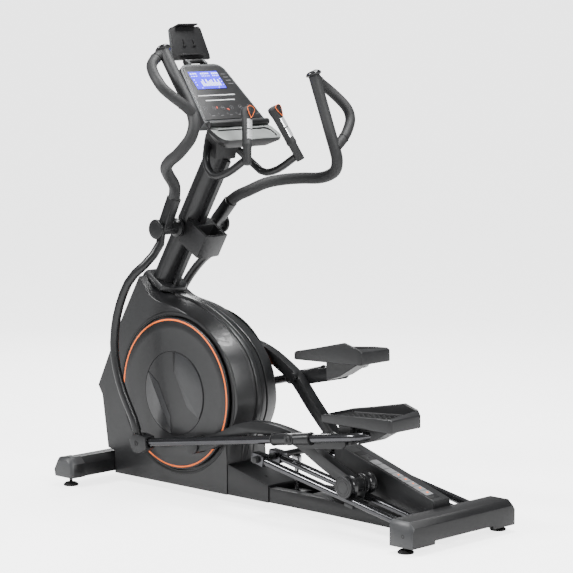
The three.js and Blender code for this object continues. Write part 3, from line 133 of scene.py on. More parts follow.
def build_floor():
    """A wide pale floor that looks brighter to the camera than it is as a light."""
    mesh = bpy.data.meshes.new("floor")
    corners = [(-1, -1), (1, -1), (1, 1), (-1, 1)]
    mesh.from_pydata([(x * FLOOR_REACH, y * FLOOR_REACH, 0) for x, y in corners], [], [(0, 1, 2, 3)])
    floor = bpy.data.objects.new("floor", mesh)
    bpy.context.scene.collection.objects.link(floor)
    white = surface("floor_white", (0.93, 0.93, 0.93), 0.7, spread=0.01, grain=(40, 0.02), glow=1.0)
    tree = white.node_tree
    seen = tree.nodes.new("ShaderNodeLightPath")
    lift = tree.nodes.new("ShaderNodeMapRange")
    lift.inputs["To Min"].default_value = FLOOR_GLOW
    lift.inputs["To Max"].default_value = FLOOR_GLOW_SEEN
    tree.links.new(seen.outputs["Is Camera Ray"], lift.inputs["Value"])
    tree.links.new(lift.outputs["Result"], tree.nodes["Principled BSDF"].inputs["Emission Strength"])
    mesh.materials.append(white)


def build_stage():
    """World, floor and lights."""
    build_world()
    build_floor()
    for light in LIGHTS:
        area_light(*light)


# ---------------------------------------------------------------- materials

BLOTCH_FROM, BLOTCH_TO = 0.32, 0.68     # noise values where a blotch starts and is full
SMEARS_PER_BLOTCH = 6
LEAST_ROUGH = 0.02
GRAIN_DEPTH = 0.0004


def surface(name, color, rough, metal=0.0, spread=0.12, grain=(900, 0.12), blotch=14, coat=0.0,
            rough_spread=0.08, stretch=(1, 1, 1), glow=0.0):
    """A material with colour variation, uneven gloss and a fine grain."""
    material = bpy.data.materials.new(name)
    material.use_nodes = True
    tree = material.node_tree
    shader = tree.nodes["Principled BSDF"]
    link = tree.links.new
    where = tree.nodes.new("ShaderNodeTexCoord")
    scale = tree.nodes.new("ShaderNodeMapping")
    scale.inputs["Scale"].default_value = stretch
    link(where.outputs["Object"], scale.inputs["Vector"])

    def noise(size, detail):
        """A noise texture in the object's own space."""
        node = tree.nodes.new("ShaderNodeTexNoise")
        node.inputs["Scale"].default_value = size
        node.inputs["Detail"].default_value = detail
        link(scale.outputs["Vector"], node.inputs["Vector"])
        return node

    cloud = noise(blotch, detail=5.0)
    ramp = tree.nodes.new("ShaderNodeValToRGB")
    ramp.color_ramp.elements[0].position = BLOTCH_FROM
    ramp.color_ramp.elements[1].position = BLOTCH_TO
    ramp.color_ramp.elements[0].color = (*[c * (1 - spread) for c in color], 1)
    ramp.color_ramp.elements[1].color = (*[min(1.0, c * (1 + spread)) for c in color], 1)
    link(cloud.outputs["Fac"], ramp.inputs["Fac"])
    link(ramp.outputs["Color"], shader.inputs["Base Color"])
    smear = noise(blotch * SMEARS_PER_BLOTCH, detail=3.0)
    gloss = tree.nodes.new("ShaderNodeMapRange")
    gloss.inputs["To Min"].default_value = max(LEAST_ROUGH, rough - rough_spread)
    gloss.inputs["To Max"].default_value = min(1.0, rough + rough_spread)
    link(smear.outputs["Fac"], gloss.inputs["Value"])
    link(gloss.outputs["Result"], shader.inputs["Roughness"])
    grain_size, grain_strength = grain
    fine = noise(grain_size, detail=2.0)
    bump = tree.nodes.new("ShaderNodeBump")
    bump.inputs["Strength"].default_value = grain_strength
    bump.inputs["Distance"].default_value = GRAIN_DEPTH
    link(fine.outputs["Fac"], bump.inputs["Height"])
    link(bump.outputs["Normal"], shader.inputs["Normal"])
    shader.inputs["Metallic"].default_value = metal
    shader.inputs["Coat Weight"].default_value = coat
    if glow:
        link(ramp.outputs["Color"], shader.inputs["Emission Color"])
        shader.inputs["Emission Strength"].default_value = glow
    return material


MATERIALS = {
    "paint": surface("paint", (0.012, 0.0122, 0.013), 0.34, metal=0.2, grain=(1500, 0.10)),
    "plastic": surface("plastic", (0.0125, 0.0127, 0.0135), 0.40, grain=(1300, 0.16)),
    "shell": surface("shell", (0.0125, 0.0127, 0.0135), 0.36, grain=(1400, 0.14), coat=0.1),
    "cap_grey": surface("cap_grey", (0.040, 0.041, 0.043), 0.42, grain=(1300, 0.14)),
    "panel": surface("panel", (0.024, 0.0245, 0.026), 0.34, grain=(1400, 0.14), coat=0.1),
    "silver": surface("silver", (0.075, 0.078, 0.080), 0.40, metal=0.3, grain=(1200, 0.08)),
    "dark": surface("dark", (0.0045, 0.0045, 0.005), 0.46, grain=(1200, 0.16)),
    "black": surface("black", (0.0015, 0.0015, 0.0018), 0.45, grain=(1000, 0.1)),
    "foam": surface("foam", (0.014, 0.0143, 0.015), 0.62, grain=(2200, 0.5), rough_spread=0.05),
    "rubber": surface("rubber", (0.007, 0.007, 0.007), 0.8, grain=(1600, 0.35)),
    "steel": surface("steel", (0.42, 0.42, 0.43), 0.26, metal=1.0, stretch=(1, 12, 1), grain=(700, 0.08)),
    "rail": surface("rail", (0.075, 0.075, 0.080), 0.20, metal=0.9, stretch=(1, 9, 9), grain=(500, 0.05)),
    "iron": surface("iron", (0.15, 0.15, 0.16), 0.45, metal=0.9, grain=(800, 0.2)),
    "wheel": surface("wheel", (0.010, 0.010, 0.011), 0.28, grain=(1200, 0.08), coat=0.3),
    # orange print and trim, made to glow a little: a painted glow, as these parts are no lamps
    "orange": surface("orange", (1.0, 0.16, 0.008), 0.45, spread=0.06, grain=(900, 0.08), glow=0.35),
    "face": surface("face", (0.007, 0.007, 0.0075), 0.40, grain=(1400, 0.08), coat=0.2),
    "tray": surface("tray", (0.17, 0.18, 0.175), 0.60, grain=(1500, 0.3)),
    "plate": surface("plate", (0.78, 0.79, 0.80), 0.28, metal=0.6, spread=0.05, grain=(900, 0.06)),
    "print": surface("print", (0.62, 0.63, 0.64), 0.5, spread=0.08),
    "faint_print": surface("faint_print", (0.10, 0.10, 0.105), 0.5, spread=0.08),
    "scale_grey": surface("scale_grey", (0.20, 0.20, 0.205), 0.5, spread=0.12),
    "red_print": surface("red_print", (0.75, 0.07, 0.02), 0.5, spread=0.08),
    "lcd": surface("lcd", (0.045, 0.02, 0.90), 0.22, spread=0.10, blotch=60, grain=(900, 0.03), glow=1.0),
    "lcd_ink": surface("lcd_ink", (0.60, 0.66, 0.98), 0.3, spread=0.10, blotch=90, grain=(900, 0.03),
                       glow=0.8),
}

LOOK_OF_SLOT = {
    "frame_paint": "paint", "dark_steel": "rail", "steel": "steel", "iron": "iron", "plastic": "plastic",
    "dark_plastic": "dark", "foam": "foam", "rubber": "rubber", "wheel": "wheel", "screen": "face",
}


# ---------------------------------------------------------------- mesh helpers

WELD = 2e-6                             # vertices nearer than this are one
BEVEL_PROFILE = 0.6
NEW_PIECE_BEVEL_ANGLE = 30


def piece(name, body, verts, faces, look, slot, smooth=35, bevel=0.0, looks=(), pick=None):
    """A new visible piece from vertices and faces, riding on a CAD body."""
    mesh = bpy.data.meshes.new(name)
    mesh.from_pydata([tuple(v) for v in verts], [], faces)
    finish_mesh(mesh, bevel, smooth, NEW_PIECE_BEVEL_ANGLE, flatten=0)
    return settle(name, mesh, body, [look, *looks], pick)


def finish_mesh(mesh, bevel, smooth, bevel_angle, segments=2, flatten=0.6, above=None):
    """Weld, flatten, bevel and smooth a mesh. Angles are in degrees, and 0 leaves a step out.

    Where above is given, only edges over that height are bevelled.
    """
    bm = bmesh.new()
    bm.from_mesh(mesh)
    bmesh.ops.remove_doubles(bm, verts=bm.verts, dist=WELD)
    if flatten:
        bmesh.ops.dissolve_limit(bm, angle_limit=math.radians(flatten), verts=bm.verts, edges=bm.edges)
    if bevel:
        limit = math.radians(bevel_angle)
        sharp = [e for e in bm.edges if len(e.link_faces) == 2 and e.calc_face_angle(0.0) > limit]
        if above is not None:
            sharp = [e for e in sharp if min(v.co.z for v in e.verts) > above]
        bmesh.ops.bevel(bm, geom=sharp, offset=bevel, segments=segments, profile=BEVEL_PROFILE,
                        affect="EDGES", clamp_overlap=above is None)
    bmesh.ops.recalc_face_normals(bm, faces=bm.faces)
    bm.to_mesh(mesh)
    bm.free()
    mesh.shade_smooth()
    mesh.set_sharp_from_angle(angle=math.radians(smooth))


def settle(name, mesh, body, looks, pick=None):
    """Give a mesh its materials and make it an object that rides on a CAD body.

    pick says which of the looks a polygon gets, as an index.
    """
    for look in looks:
        mesh.materials.append(MATERIALS[look])
    if pick:
        for polygon in mesh.polygons:
            polygon.material_index = pick(polygon)
    obj = bpy.data.objects.new(name, mesh)
    bpy.context.scene.collection.objects.link(obj)
    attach(obj, body)
    return obj


def skin(node, look=None, bevel=0.0015, bevel_angle=48, smooth=42, looks=(), pick=None, segments=2,
         flatten=0.6, above=None):
    """A finished version of a CAD node: its own shape with rounded edges and smooth sides."""
    mesh = NODES[node].data.copy()
    mesh.materials.clear()
    for name in [a.name for a in mesh.attributes if "normal" in a.name]:
        mesh.attributes.remove(mesh.attributes[name])
    finish_mesh(mesh, bevel, smooth, bevel_angle, segments, flatten, above)
    slot = SLOT_OF[node]
    main_look = look or LOOK_OF_SLOT[slot]
    obj = settle(f"{node}_finished", mesh, BODY_OF[node], [main_look, *looks], pick)
    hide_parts(node)
    return obj


def ring_faces(rings, count, closed=False):
    """Quads between rows of vertices; closed joins the last row to the first."""
    faces = []
    last = rings if closed else rings - 1
    for r in range(last):
        for i in range(count):
            a = r * count + i
            b = r * count + (i + 1) % count
            c = ((r + 1) % rings) * count + (i + 1) % count
            d = ((r + 1) % rings) * count + i
            faces.append((a, b, c, d))
    return faces


def frame_of(direction):
    """Two directions square to one another and to the given one."""
    direction = Vector(direction).normalized()
    side = direction.orthogonal().normalized()
    return side, direction.cross(side)


def lathe(at, axis, profile, sides=48, bored=False):
    """Turned shape about an axis: profile is (radius, distance along), in metres.

    A bored one has no end covers, and its last ring joins its first.
    """
    at = Vector(at)
    axis = Vector(axis).normalized()
    u, v = frame_of(axis)
    verts = []
    for radius, along in profile:
        for i in range(sides):
            angle = 2 * math.pi * i / sides
            verts.append(at + axis * along + (u * math.cos(angle) + v * math.sin(angle)) * radius)
    faces = ring_faces(len(profile), sides, closed=bored)
    if not bored:
        faces.append(tuple(range(sides))[::-1])
        faces.append(tuple(range((len(profile) - 1) * sides, len(profile) * sides)))
    return verts, faces


def torus(at, axis, radius, thick, sides=96, around=8):
    """A ring of round section; thick is the section's radius."""
    at = Vector(at)
    axis = Vector(axis).normalized()
    u, v = frame_of(axis)
    verts = []
    for i in range(sides):
        angle = 2 * math.pi * i / sides
        out = u * math.cos(angle) + v * math.sin(angle)
        for k in range(around):
            turn = 2 * math.pi * k / around
            verts.append(at + out * (radius + thick * math.cos(turn)) + axis * thick * math.sin(turn))
    return verts, ring_faces(sides, around, closed=True)


def smooth_path(points, steps):
    """A Catmull-Rom curve through the points, with the same number of steps between each two."""
    points = [Vector(p) for p in points]
    out = []
    for i in range(len(points) - 1):
        p0 = points[i - 1] if i else points[0] * 2 - points[1]
        p1, p2 = points[i], points[i + 1]
        p3 = points[i + 2] if i + 2 < len(points) else points[-1] * 2 - points[-2]
        for k in range(steps):
            t = k / steps
            out.append(0.5 * ((2 * p1) + (p2 - p0) * t + (2 * p0 - 5 * p1 + 4 * p2 - p3) * t * t
                              + (3 * p1 - p0 - 3 * p2 + p3) * t ** 3))
    out.append(points[-1])
    return out


def tube(path, radius, sides=24):
    """A round bar along a path."""
    verts = []
    last = len(path) - 1
    tangents = [(path[min(i + 1, last)] - path[max(i - 1, 0)]).normalized() for i in range(len(path))]
    u, v = frame_of(tangents[0])
    for i, point in enumerate(path):
        u = (u - tangents[i] * u.dot(tangents[i])).normalized()
        v = tangents[i].cross(u)
        for k in range(sides):
            angle = 2 * math.pi * k / sides
            verts.append(point + (u * math.cos(angle) + v * math.sin(angle)) * radius)
    faces = ring_faces(len(path), sides)
    faces.append(tuple(range(sides))[::-1])
    faces.append(tuple(range(last * sides, len(path) * sides)))
    return verts, faces


def merged(*parts):
    """Several shapes as one list of vertices and faces."""
    verts = []
    faces = []
    for part_verts, part_faces in parts:
        start = len(verts)
        verts.extend(part_verts)
        faces.extend(tuple(i + start for i in face) for face in part_faces)
    return verts, faces


def slab(corner_points, offset):
    """A flat plate from an outline of points, thickened by an offset vector."""
    count = len(corner_points)
    verts = [Vector(p) for p in corner_points] + [Vector(p) + Vector(offset) for p in corner_points]
    faces = ring_faces(2, count)
    faces.append(tuple(range(count))[::-1])
    faces.append(tuple(range(count, 2 * count)))
    return verts, faces


def bolt_head(at, axis, radius, height, sides=24):
    """A round screw head with a chamfered rim and a round socket."""
    profile = [(radius, 0), (radius, height * 0.6), (radius * 0.85, height), (radius * 0.5, height),
               (radius * 0.46, height * 0.45), (radius * 0.02, height * 0.45)]
    return lathe(at, axis, profile, sides)


# ---------------------------------------------------------------- places on the machine

STRIDE_TURN = math.radians(20.589)      # between the left handle's pose and the right one's
HINGE_ALONG = 975                       # the pedal's hinge, from the arm's front joint
HINGE_BELOW = 18
SWING_PIVOT = JOINT_AT["stride"]
CRANK = JOINT_AT["crank_spin"]
DESIGN_CRANK = Vector((410, 370))       # the crank's design x and z, in millimetres


class Side:
    """One side of the machine, with its own pose of the linkage."""

    def __init__(self, name, sign, turn):
        self.name = name
        self.sign = sign
        self.outward = (0, sign, 0)
        self.turn = Matrix.Rotation(turn, 3, "Y")
        self.joint = JOINT_AT[f"knuckle_{name}_turn"]
        self.hinge = JOINT_AT[f"pedal_{name}_tilt"]
        self.roller = JOINT_AT[f"axle_{name}_lift"]
        reach = self.hinge - self.joint
        lean = math.atan2(reach.z, reach.x) + math.atan2(HINGE_BELOW, HINGE_ALONG)
        self.along = Vector((math.cos(lean), 0, math.sin(lean)))
        self.up = Vector((-math.sin(lean), 0, math.cos(lean)))

    def off(self, distance):
        """A step off the centre plane towards this side."""
        return Vector((0, self.sign * distance * MM, 0))

    def swing(self, dx, dz, off):
        """A point of the swinging handle, from the pivot in the left handle's pose."""
        return SWING_PIVOT + self.turn @ Vector((dx * MM, 0, dz * MM)) + self.off(off)

    def pedal(self, along, up, off):
        """A point of the pedal arm, from its front joint."""
        return self.joint + self.along * along * MM + self.up * up * MM + self.off(off)


SIDES = [Side("left", -1, 0.0), Side("right", 1, STRIDE_TURN)]
ACROSS = (0, 1, 0)


# ---------------------------------------------------------------- frame, stabilizers and ramp

FRONT_CAP_FROM = 0.2465                 # the grey end caps start this far off the centre plane
REAR_CAP_FROM = 0.2185
FRAME_SCREWS = [(800, -40, 110.2), (740, 38, 124.6)]
FRAME_SCREW_AXIS = (0.25, 0, 0.97)


def build_frame():
    """Base frame, stabilizers with grey end caps, feet and screws."""
    skin("base_frame", bevel=0.002)
    skin("front_stabilizer", bevel=0.003, looks=["cap_grey"],
         pick=lambda p: 1 if abs(p.center.y) > FRONT_CAP_FROM else 0)
    skin("rear_stabilizer", "dark", bevel=0.003, looks=["cap_grey"],
         pick=lambda p: 1 if abs(p.center.y) > REAR_CAP_FROM else 0)
    for node in ("foot_front_left", "foot_front_right", "foot_rear_left", "foot_rear_right"):
        skin(node, bevel=0.001)
    for side in SIDES:
        s = side.sign
        cap_screw = bolt_head(mm(1640, s * 264.5, 60), side.outward, 0.007, 0.0009)
        slot_cover = slab([mm(-4, s * 292, 107.2), mm(40, s * 292, 110.2), mm(40, s * 299, 110.2),
                           mm(-4, s * 299, 107.2)], (0, 0, 0.0012))
        piece(f"stabilizer_trim_{side.name}", "frame", *merged(cap_screw, slot_cover), "black", "plastic")
    screws = [bolt_head(mm(*at), FRAME_SCREW_AXIS, 0.006, 0.0016) for at in FRAME_SCREWS]
    piece("frame_screws", "frame", *merged(*screws), "black", "frame_paint")


COVER_START = (1178, 262)               # design x and z of the cover's upper edge
COVER_RUN = 403
COVER_DROP = 128
COVER_DOWN = Vector((COVER_RUN, 0, -COVER_DROP)).normalized()
COVER_OUT = Vector((COVER_DROP, 0, COVER_RUN)).normalized()
CELL_COUNT = 8
CELL_PITCH = 34
CELL_LENGTH = 31.5
FIRST_CELL = 112
FIRST_MARKED_CELL = 3
MARK_FROM, MARK_TO = 124, 131           # along the cover, for the first cell


def on_cover(along, y, lift=0.0):
    """A point on the ramp cover's sloping top, in millimetres from its upper edge."""
    return mm(COVER_START[0], y, COVER_START[1]) + COVER_DOWN * along * MM + COVER_OUT * lift * MM


def cover_plate(from_along, to_along, y_low, y_high, lift, thick):
    """A thin oblong plate lying on the ramp cover."""
    outline = [on_cover(from_along, y_low, lift), on_cover(to_along, y_low, lift),
               on_cover(to_along, y_high, lift), on_cover(from_along, y_high, lift)]
    return slab(outline, COVER_OUT * thick * MM)


def build_ramp():
    """Ramp rails, lift and cover, with the incline scale on the cover."""
    skin("ramp_crossbar", bevel=0.001)
    skin("lift_screw", bevel=0.0005)
    skin("lift_motor", bevel=0.002)
    for side in SIDES:
        for row in ("inner", "outer"):
            skin(f"rail_{row}_{side.name}", bevel=0.0015)
    skin("ramp_cover", bevel=0.004, segments=3)
    scale = cover_plate(74, 404, -35, 7, 0.0, 0.9)
    piece("incline_scale", "frame", *scale, "dark", "plastic", bevel=0.0004)
    cells = []
    marks = []
    for i in range(CELL_COUNT):
        step = CELL_PITCH * i
        cells.append(cover_plate(FIRST_CELL + step, FIRST_CELL + step + CELL_LENGTH, -33, 4, 0.8, 0.5))
        if i >= FIRST_MARKED_CELL:
            marks.append(cover_plate(MARK_FROM + step, MARK_TO + step, -12 - (2 * i) % 5, -6, 1.3, 0.25))
    piece("incline_cells", "frame", *merged(*cells), "scale_grey", "plastic")
    # the orange marks glow a little: a painted glow on print
    piece("incline_marks", "frame", *merged(*marks), "orange", "plastic")
    screws = [bolt_head(on_cover(a, -12, 0.9), COVER_OUT, 0.004, 0.001) for a in (92, 396)]
    window = cover_plate(40, 66, -34, 6, 0.0, 0.7)
    edge_lines = [cover_plate(10, 418, y, y + 1.2, 0.0, 0.4) for y in (-37.5, 9)]
    piece("cover_trim", "frame", *merged(window, *screws, *edge_lines), "black", "plastic")


# ---------------------------------------------------------------- shroud and crank discs

OUTLINE = [                             # design x and z, round the shroud
    (75, 31), (75, 114), (38, 122), (8, 317), (-14, 352), (41, 464), (114, 607), (214, 779), (250, 748),
    (305, 723), (408, 704), (475, 683), (563, 642), (643, 587), (698, 529), (728, 468), (743, 398),
    (741, 332), (716, 268), (680, 214), (665, 152), (665, 31),
]
ROUND_PART = slice(8, 20)               # these points are tapered and made smooth
SHELL_BANDS = [                         # distance off the centre plane, share of the size kept
    (0.4, 0.992), (2.2, 1.0), (18, 1.0), (20.5, 0.996), (22.5, 0.975), (31, 0.966), (33, 0.982),
    (35, 0.984), (60, 0.964), (92, 0.932), (98.5, 0.924), (100, 0.917),
]
SEAM_FROM, SEAM_TO = 0.0225, 0.031      # the dark groove along the shell's edge
RECESS_RADIUS = 283
RECESS_SIDES = 96
RECESS_FLOOR = 90                       # off the centre plane
DISC_SIDES = 128
RING_PROFILE = [(0.2845, 0.0), (0.297, 0.0), (0.2955, 0.0028), (0.2915, 0.0034), (0.2875, 0.0024),
                (0.2845, -0.004)]


def shroud_outline(keep):
    """The outline at one distance off the centre plane, with its round rear part made smooth."""
    tapered = [DESIGN_CRANK + (Vector(p) - DESIGN_CRANK) * keep for p in OUTLINE[ROUND_PART]]
    before = [Vector(p) for p in OUTLINE[:ROUND_PART.start]]
    after = [Vector(p) for p in OUTLINE[ROUND_PART.stop:]]
    return before + smooth_path(tapered, 4) + after


def shroud_shell(side):
    """One half of the shroud: bands from the centre plane out, then a flat face with a round recess."""
    s = side.sign
    n = RECESS_SIDES
    verts = []
    for off, keep in SHELL_BANDS:
        verts.extend(mm(p.x, s * off, p.y) for p in shroud_outline(keep))
    face_off, face_keep = SHELL_BANDS[-1]
    rim = shroud_outline(face_keep)
    count = len(rim)
    faces = ring_faces(len(SHELL_BANDS), count)
    faces.append(tuple(range(count)))
    turns = [2 * math.pi * i / n for i in range(n)]
    hole = [Vector((DESIGN_CRANK.x + RECESS_RADIUS * math.cos(turn),
                    DESIGN_CRANK.y + RECESS_RADIUS * math.sin(turn))) for turn in turns]
    base = len(verts)
    for off in (face_off, RECESS_FLOOR):
        verts.extend(mm(p.x, s * off, p.y) for p in hole)
    flat = [[Vector((p.x, p.y, 0)) for p in loop] for loop in (rim, hole)]
    lookup = [*range(base - count, base), *range(base, base + n)]
    faces.extend(tuple(lookup[i] for i in triangle) for triangle in tessellate_polygon(flat))
    for i in range(n):
        after = (i + 1) % n
        faces.append((base + i, base + after, base + n + after, base + n + i))
    faces.append(tuple(base + n + i for i in range(n)))
    return verts, faces


def build_shroud():
    """Both shroud halves with their ring round the disc, and the collar where the mast comes out."""
    for side in SIDES:
        obj = piece(f"shroud_shell_{side.name}", "frame", *shroud_shell(side), "shell", "plastic", smooth=30,
                    looks=["dark"], pick=lambda p: 1 if SEAM_FROM < abs(p.center.y) < SEAM_TO else 0)
        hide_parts(f"shroud_{side.name}")
        verts, faces = lathe(CRANK + side.off(99.5), side.outward, RING_PROFILE, DISC_SIDES)
        open_faces = faces[:-2]         # without the two end covers
        piece(f"shroud_ring_{side.name}", "frame", verts, open_faces, "dark", "plastic", smooth=50)
    skin("mast_collar", "shell", bevel=0.003)
    clip = slab([mm(268, -30, 716), mm(306, -30, 702), mm(320, -30, 722), mm(284, -30, 738)], (0, 0.06, 0))
    piece("collar_clip", "frame", *clip, "plastic", "plastic", bevel=0.004)


DISC_PROFILE = [                        # radius, and millimetres off the centre plane
    (0.040, 94.4), (0.044, 101), (0.272, 101), (0.276, 104), (0.276, 110), (0.2745, 112.5),
    (0.2715, 113.4), (0.2700, 112.6), (0.2645, 113.0), (0.2635, 113.7), (0.235, 112.4),
    (0.19, 111.6), (0.156, 112.3), (0.1535, 112.3), (0.1530, 110.8), (0.1515, 110.8),
    (0.1510, 112.6), (0.10, 113.6), (0.001, 113.9),
]
ORANGE_FROM, ORANGE_TO = 0.2643, 0.2702
GROOVE_FROM, GROOVE_TO = 0.1508, 0.1534
SIDE_WALL = 0.3                         # a face whose normal has less y than this is a wall
RIDGE_REAR = [(128, -78), (67, -43), (4, 75)]
RIDGE_FRONT = [(-136, 66), (-85, 31), (-20, -89), (-17, -148)]
SLOT_CORNERS = [(-7, 149), (2, 149), (0, 78), (-5, 78)]
PANEL_RADIUS = 149
PANEL_FOOT = 112.2                      # off the centre plane
PANEL_THICK = 3.0
PANEL_STEPS = 24


def on_disc(side, x, z, off):
    """A point on a disc, in millimetres from the crank's axis and off the centre plane."""
    return CRANK + Vector((x * MM, 0, z * MM)) + side.off(off)


def disc_panel(side, ridge, from_degrees, to_degrees):
    """A raised panel of the inner cover, between a bent ridge and the cover's round edge."""
    arc = []
    for i in range(PANEL_STEPS + 1):
        angle = math.radians(from_degrees + (to_degrees - from_degrees) * i / PANEL_STEPS)
        arc.append((PANEL_RADIUS * math.cos(angle), PANEL_RADIUS * math.sin(angle)))
    points = [on_disc(side, x, z, PANEL_FOOT) for x, z in arc + ridge]
    return slab(points, side.off(PANEL_THICK))


def disc_zone(polygon):
    """Glowing orange on the ring near the rim (a painted glow), black in the groove, shell colour elsewhere.
    """
    radius = math.hypot(polygon.center.x - CRANK.x, polygon.center.z - CRANK.z)
    if polygon.normal.y * polygon.center.y < 0 or abs(polygon.normal.y) < SIDE_WALL:
        return 0
    if ORANGE_FROM < radius < ORANGE_TO:
        return 1
    return 2 if GROOVE_FROM < radius < GROOVE_TO else 0


def build_discs():
    """The turning discs with their covers, and the drive inside the shroud."""
    for side in SIDES:
        verts, faces = lathe(CRANK, side.outward, [(r, y * MM) for r, y in DISC_PROFILE], DISC_SIDES)
        # the orange ring on each disc glows a little: a painted glow
        obj = piece(f"disc_{side.name}", "crank", verts, faces, "shell", "plastic", smooth=60,
                    looks=["orange", "black"], pick=disc_zone)
        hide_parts(f"crank_disc_{side.name}")
        panels = [disc_panel(side, RIDGE_REAR, 88, -31), disc_panel(side, RIDGE_FRONT, 264, 154)]
        piece(f"disc_panels_{side.name}", "crank", *merged(*panels), "panel", "plastic", bevel=0.0016)
        slot = slab([on_disc(side, x, z, 112.6) for x, z in SLOT_CORNERS], side.off(1.6))
        piece(f"disc_slot_{side.name}", "crank", *slot, "black", "plastic", bevel=0.0003)
    for node in ("crank_axle", "drive_pulley", "flywheel", "drive_belt", "magnet_brake"):
        skin(node, bevel=0.0)


# ---------------------------------------------------------------- mast, handles and console

MAST_FOOT = mm(151, 0, 570)
MAST_ALONG = Vector((390, 0, 664)).normalized()
MAST_BACK = Vector((MAST_ALONG.z, 0, -MAST_ALONG.x))
MAST_HOLES = (520, 566)                 # along the mast from its foot


def on_mast(back, across, along):
    """A point by the mast, in millimetres from its foot."""
    return MAST_FOOT + MAST_BACK * back * MM + Vector((0, across * MM, 0)) + MAST_ALONG * along * MM


def build_mast():
    """The mast, what is fixed to it, and its small trims."""
    skin("mast", bevel=0.0)
    skin("cup_holder", bevel=0.0025)
    skin("pivot_axle", bevel=0.0015)
    skin("grip_bar", bevel=0.0)
    holes = [bolt_head(on_mast(-12, side.sign * 53.6, w), side.outward, 0.0055, 0.001)
             for side in SIDES for w in MAST_HOLES]
    piece("mast_trim", "frame", *merged(*holes), "black", "frame_paint")
    seam = slab([on_mast(130.5, -26, 413), on_mast(131.0, -22, 413), on_mast(131.0, -22, 505.5),
                 on_mast(130.5, -26, 505.5)], MAST_BACK * 0.0006)
    piece("cup_seam", "frame", *seam, "black", "plastic")


HANDLE = [                              # rearward, up and outward of the pivot, in the left handle's pose
    (50, 114.3, 124), (67, 143, 137), (86, 167, 160), (112, 206, 212), (150, 234, 258), (206, 262, 292),
    (262, 286, 312), (302, 314, 318), (330, 348, 312), (335, 388, 300), (320, 424, 290), (286, 472, 282),
    (222, 551, 276), (156, 634, 268), (149, 644, 267),
]
LOOP = [
    (152, 640, 268), (150, 616, 304), (168, 594, 340), (205, 571, 368), (243, 547, 385), (271, 519, 384),
    (294, 490, 360), (311, 464, 330), (320, 434, 294),
]
HANDLE_RADIUS = 0.0209
LOOP_RADIUS = 0.0185
LOOP_JOINTS = (1, 7)                    # points of the loop where the foam changes
CAP_PROFILE = [(0.020, -0.004), (0.0285, 0.0005), (0.029, 0.004), (0.0275, 0.0085), (0.022, 0.013),
               (0.013, 0.0165), (0.001, 0.0178)]
SET_SCREW_AT = Vector((0.0205, 0, -0.0098))
SET_SCREW_AXIS = (0.9, 0, -0.43)


def build_handles():
    """Swinging handles in foam, their arms and the joint covers at the lower ends."""
    for side in SIDES:
        name = side.name
        swing_body = f"swing_{name}"
        main = tube(smooth_path([side.swing(*p) for p in HANDLE], 5), HANDLE_RADIUS, sides=28)
        loop = tube(smooth_path([side.swing(*p) for p in LOOP], 6), LOOP_RADIUS, sides=24)
        obj = piece(f"handle_foam_{name}", swing_body, *merged(main, loop), "foam", "foam", smooth=50)
        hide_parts(f"handlebar_{side.name}")
        cap_from = side.swing(150, 642, 267)
        cap = lathe(cap_from, side.swing(138, 656, 265) - cap_from, CAP_PROFILE, sides=40)
        piece(f"handle_cap_{name}", swing_body, *cap, "wheel", "plastic", smooth=60)
        rings = []
        for i in LOOP_JOINTS:
            start, end = side.swing(*LOOP[i]), side.swing(*LOOP[i + 1])
            rings.append(torus(start, end - start, 0.0188, 0.0014, sides=32))
        piece(f"handle_joints_{name}", swing_body, *merged(*rings), "dark", "foam", smooth=60)
        skin(f"swing_arm_{name}", bevel=0.0018)
        sleeve = side.swing(*HANDLE[0]) - side.swing(4, 10, 128)
        collar = torus(side.swing(49, 112, 124.1), sleeve, 0.0218, 0.0016, sides=40)
        set_screw = bolt_head(SWING_PIVOT + side.off(100) + SET_SCREW_AT, SET_SCREW_AXIS, 0.0042, 0.0016)
        piece(f"swing_trim_{name}", swing_body, *merged(collar, set_screw), "black", "frame_paint")
        hub_ring = torus(SWING_PIVOT + side.off(171.6), side.outward, 0.027, 0.0008, sides=48)
        piece(f"hub_ring_{name}", "frame", *hub_ring, "dark", "frame_paint")
        skin(f"joint_cover_{name}", bevel=0.0025)
        joint_bolt = bolt_head(side.joint + side.off(209.6), side.outward, 0.010, 0.0022)
        piece(f"joint_bolt_{name}", f"knuckle_{name}", *joint_bolt, "black", "steel")


FACE_TOP = mm(432, 0, 1553)
FACE_DOWN = Vector((0.6764, 0, -0.7366))
FACE_OUT = Vector((0.7366, 0, 0.6764))
PRINT_LIFT = 2.5                        # millimetres out from the face plane
ICON_LIFT = 2.6
LCD_LIFT = 2.9
INK_LIFT = 3.2
INK_THICK = 0.12
HOUSING_BACK = -0.046                   # the silver rim ends this far behind the face
NECK_TOP = 1.33
LEFT_TURNED = -0.75                     # faces turned more to the left than this are dark
TRAY_OUT = Vector((0.478, 0, 0.878))
TRAY_FLAT = 0.95
TRAY_FROM = -0.175

LCD_BAR_COUNT = 11
LCD_ROWS = [(-82, 3, 9), (-30, 5, 6), (24, 4, 6)]               # first y, count and width of the marks
LCD_DOTS = [(-80, 72), (-80, 84), (-80, 96), (48, 70), (49, 84), (50, 98), (-62, 110), (20, 110)]
ICON_COUNT = 6
ICON_PITCH = 44
RED_MARKS = [                           # y from and to, down the face from and to
    (-54, -46, 200, 203), (-52, -49, 203, 207), (-6, 2, 210, 213), (0, 4, 213, 217),
]


def on_face(y, down, lift):
    """A point on the console's face, in millimetres from the middle of its top edge."""
    return FACE_TOP + FACE_DOWN * down * MM + Vector((0, y * MM, 0)) + FACE_OUT * lift * MM


def face_plate(y_low, y_high, down_low, down_high, lift=PRINT_LIFT, thick=0.35):
    """A thin oblong plate on the console's face."""
    outline = [on_face(y_low, down_low, lift), on_face(y_high, down_low, lift),
               on_face(y_high, down_high, lift), on_face(y_low, down_high, lift)]
    return slab(outline, FACE_OUT * thick * MM)


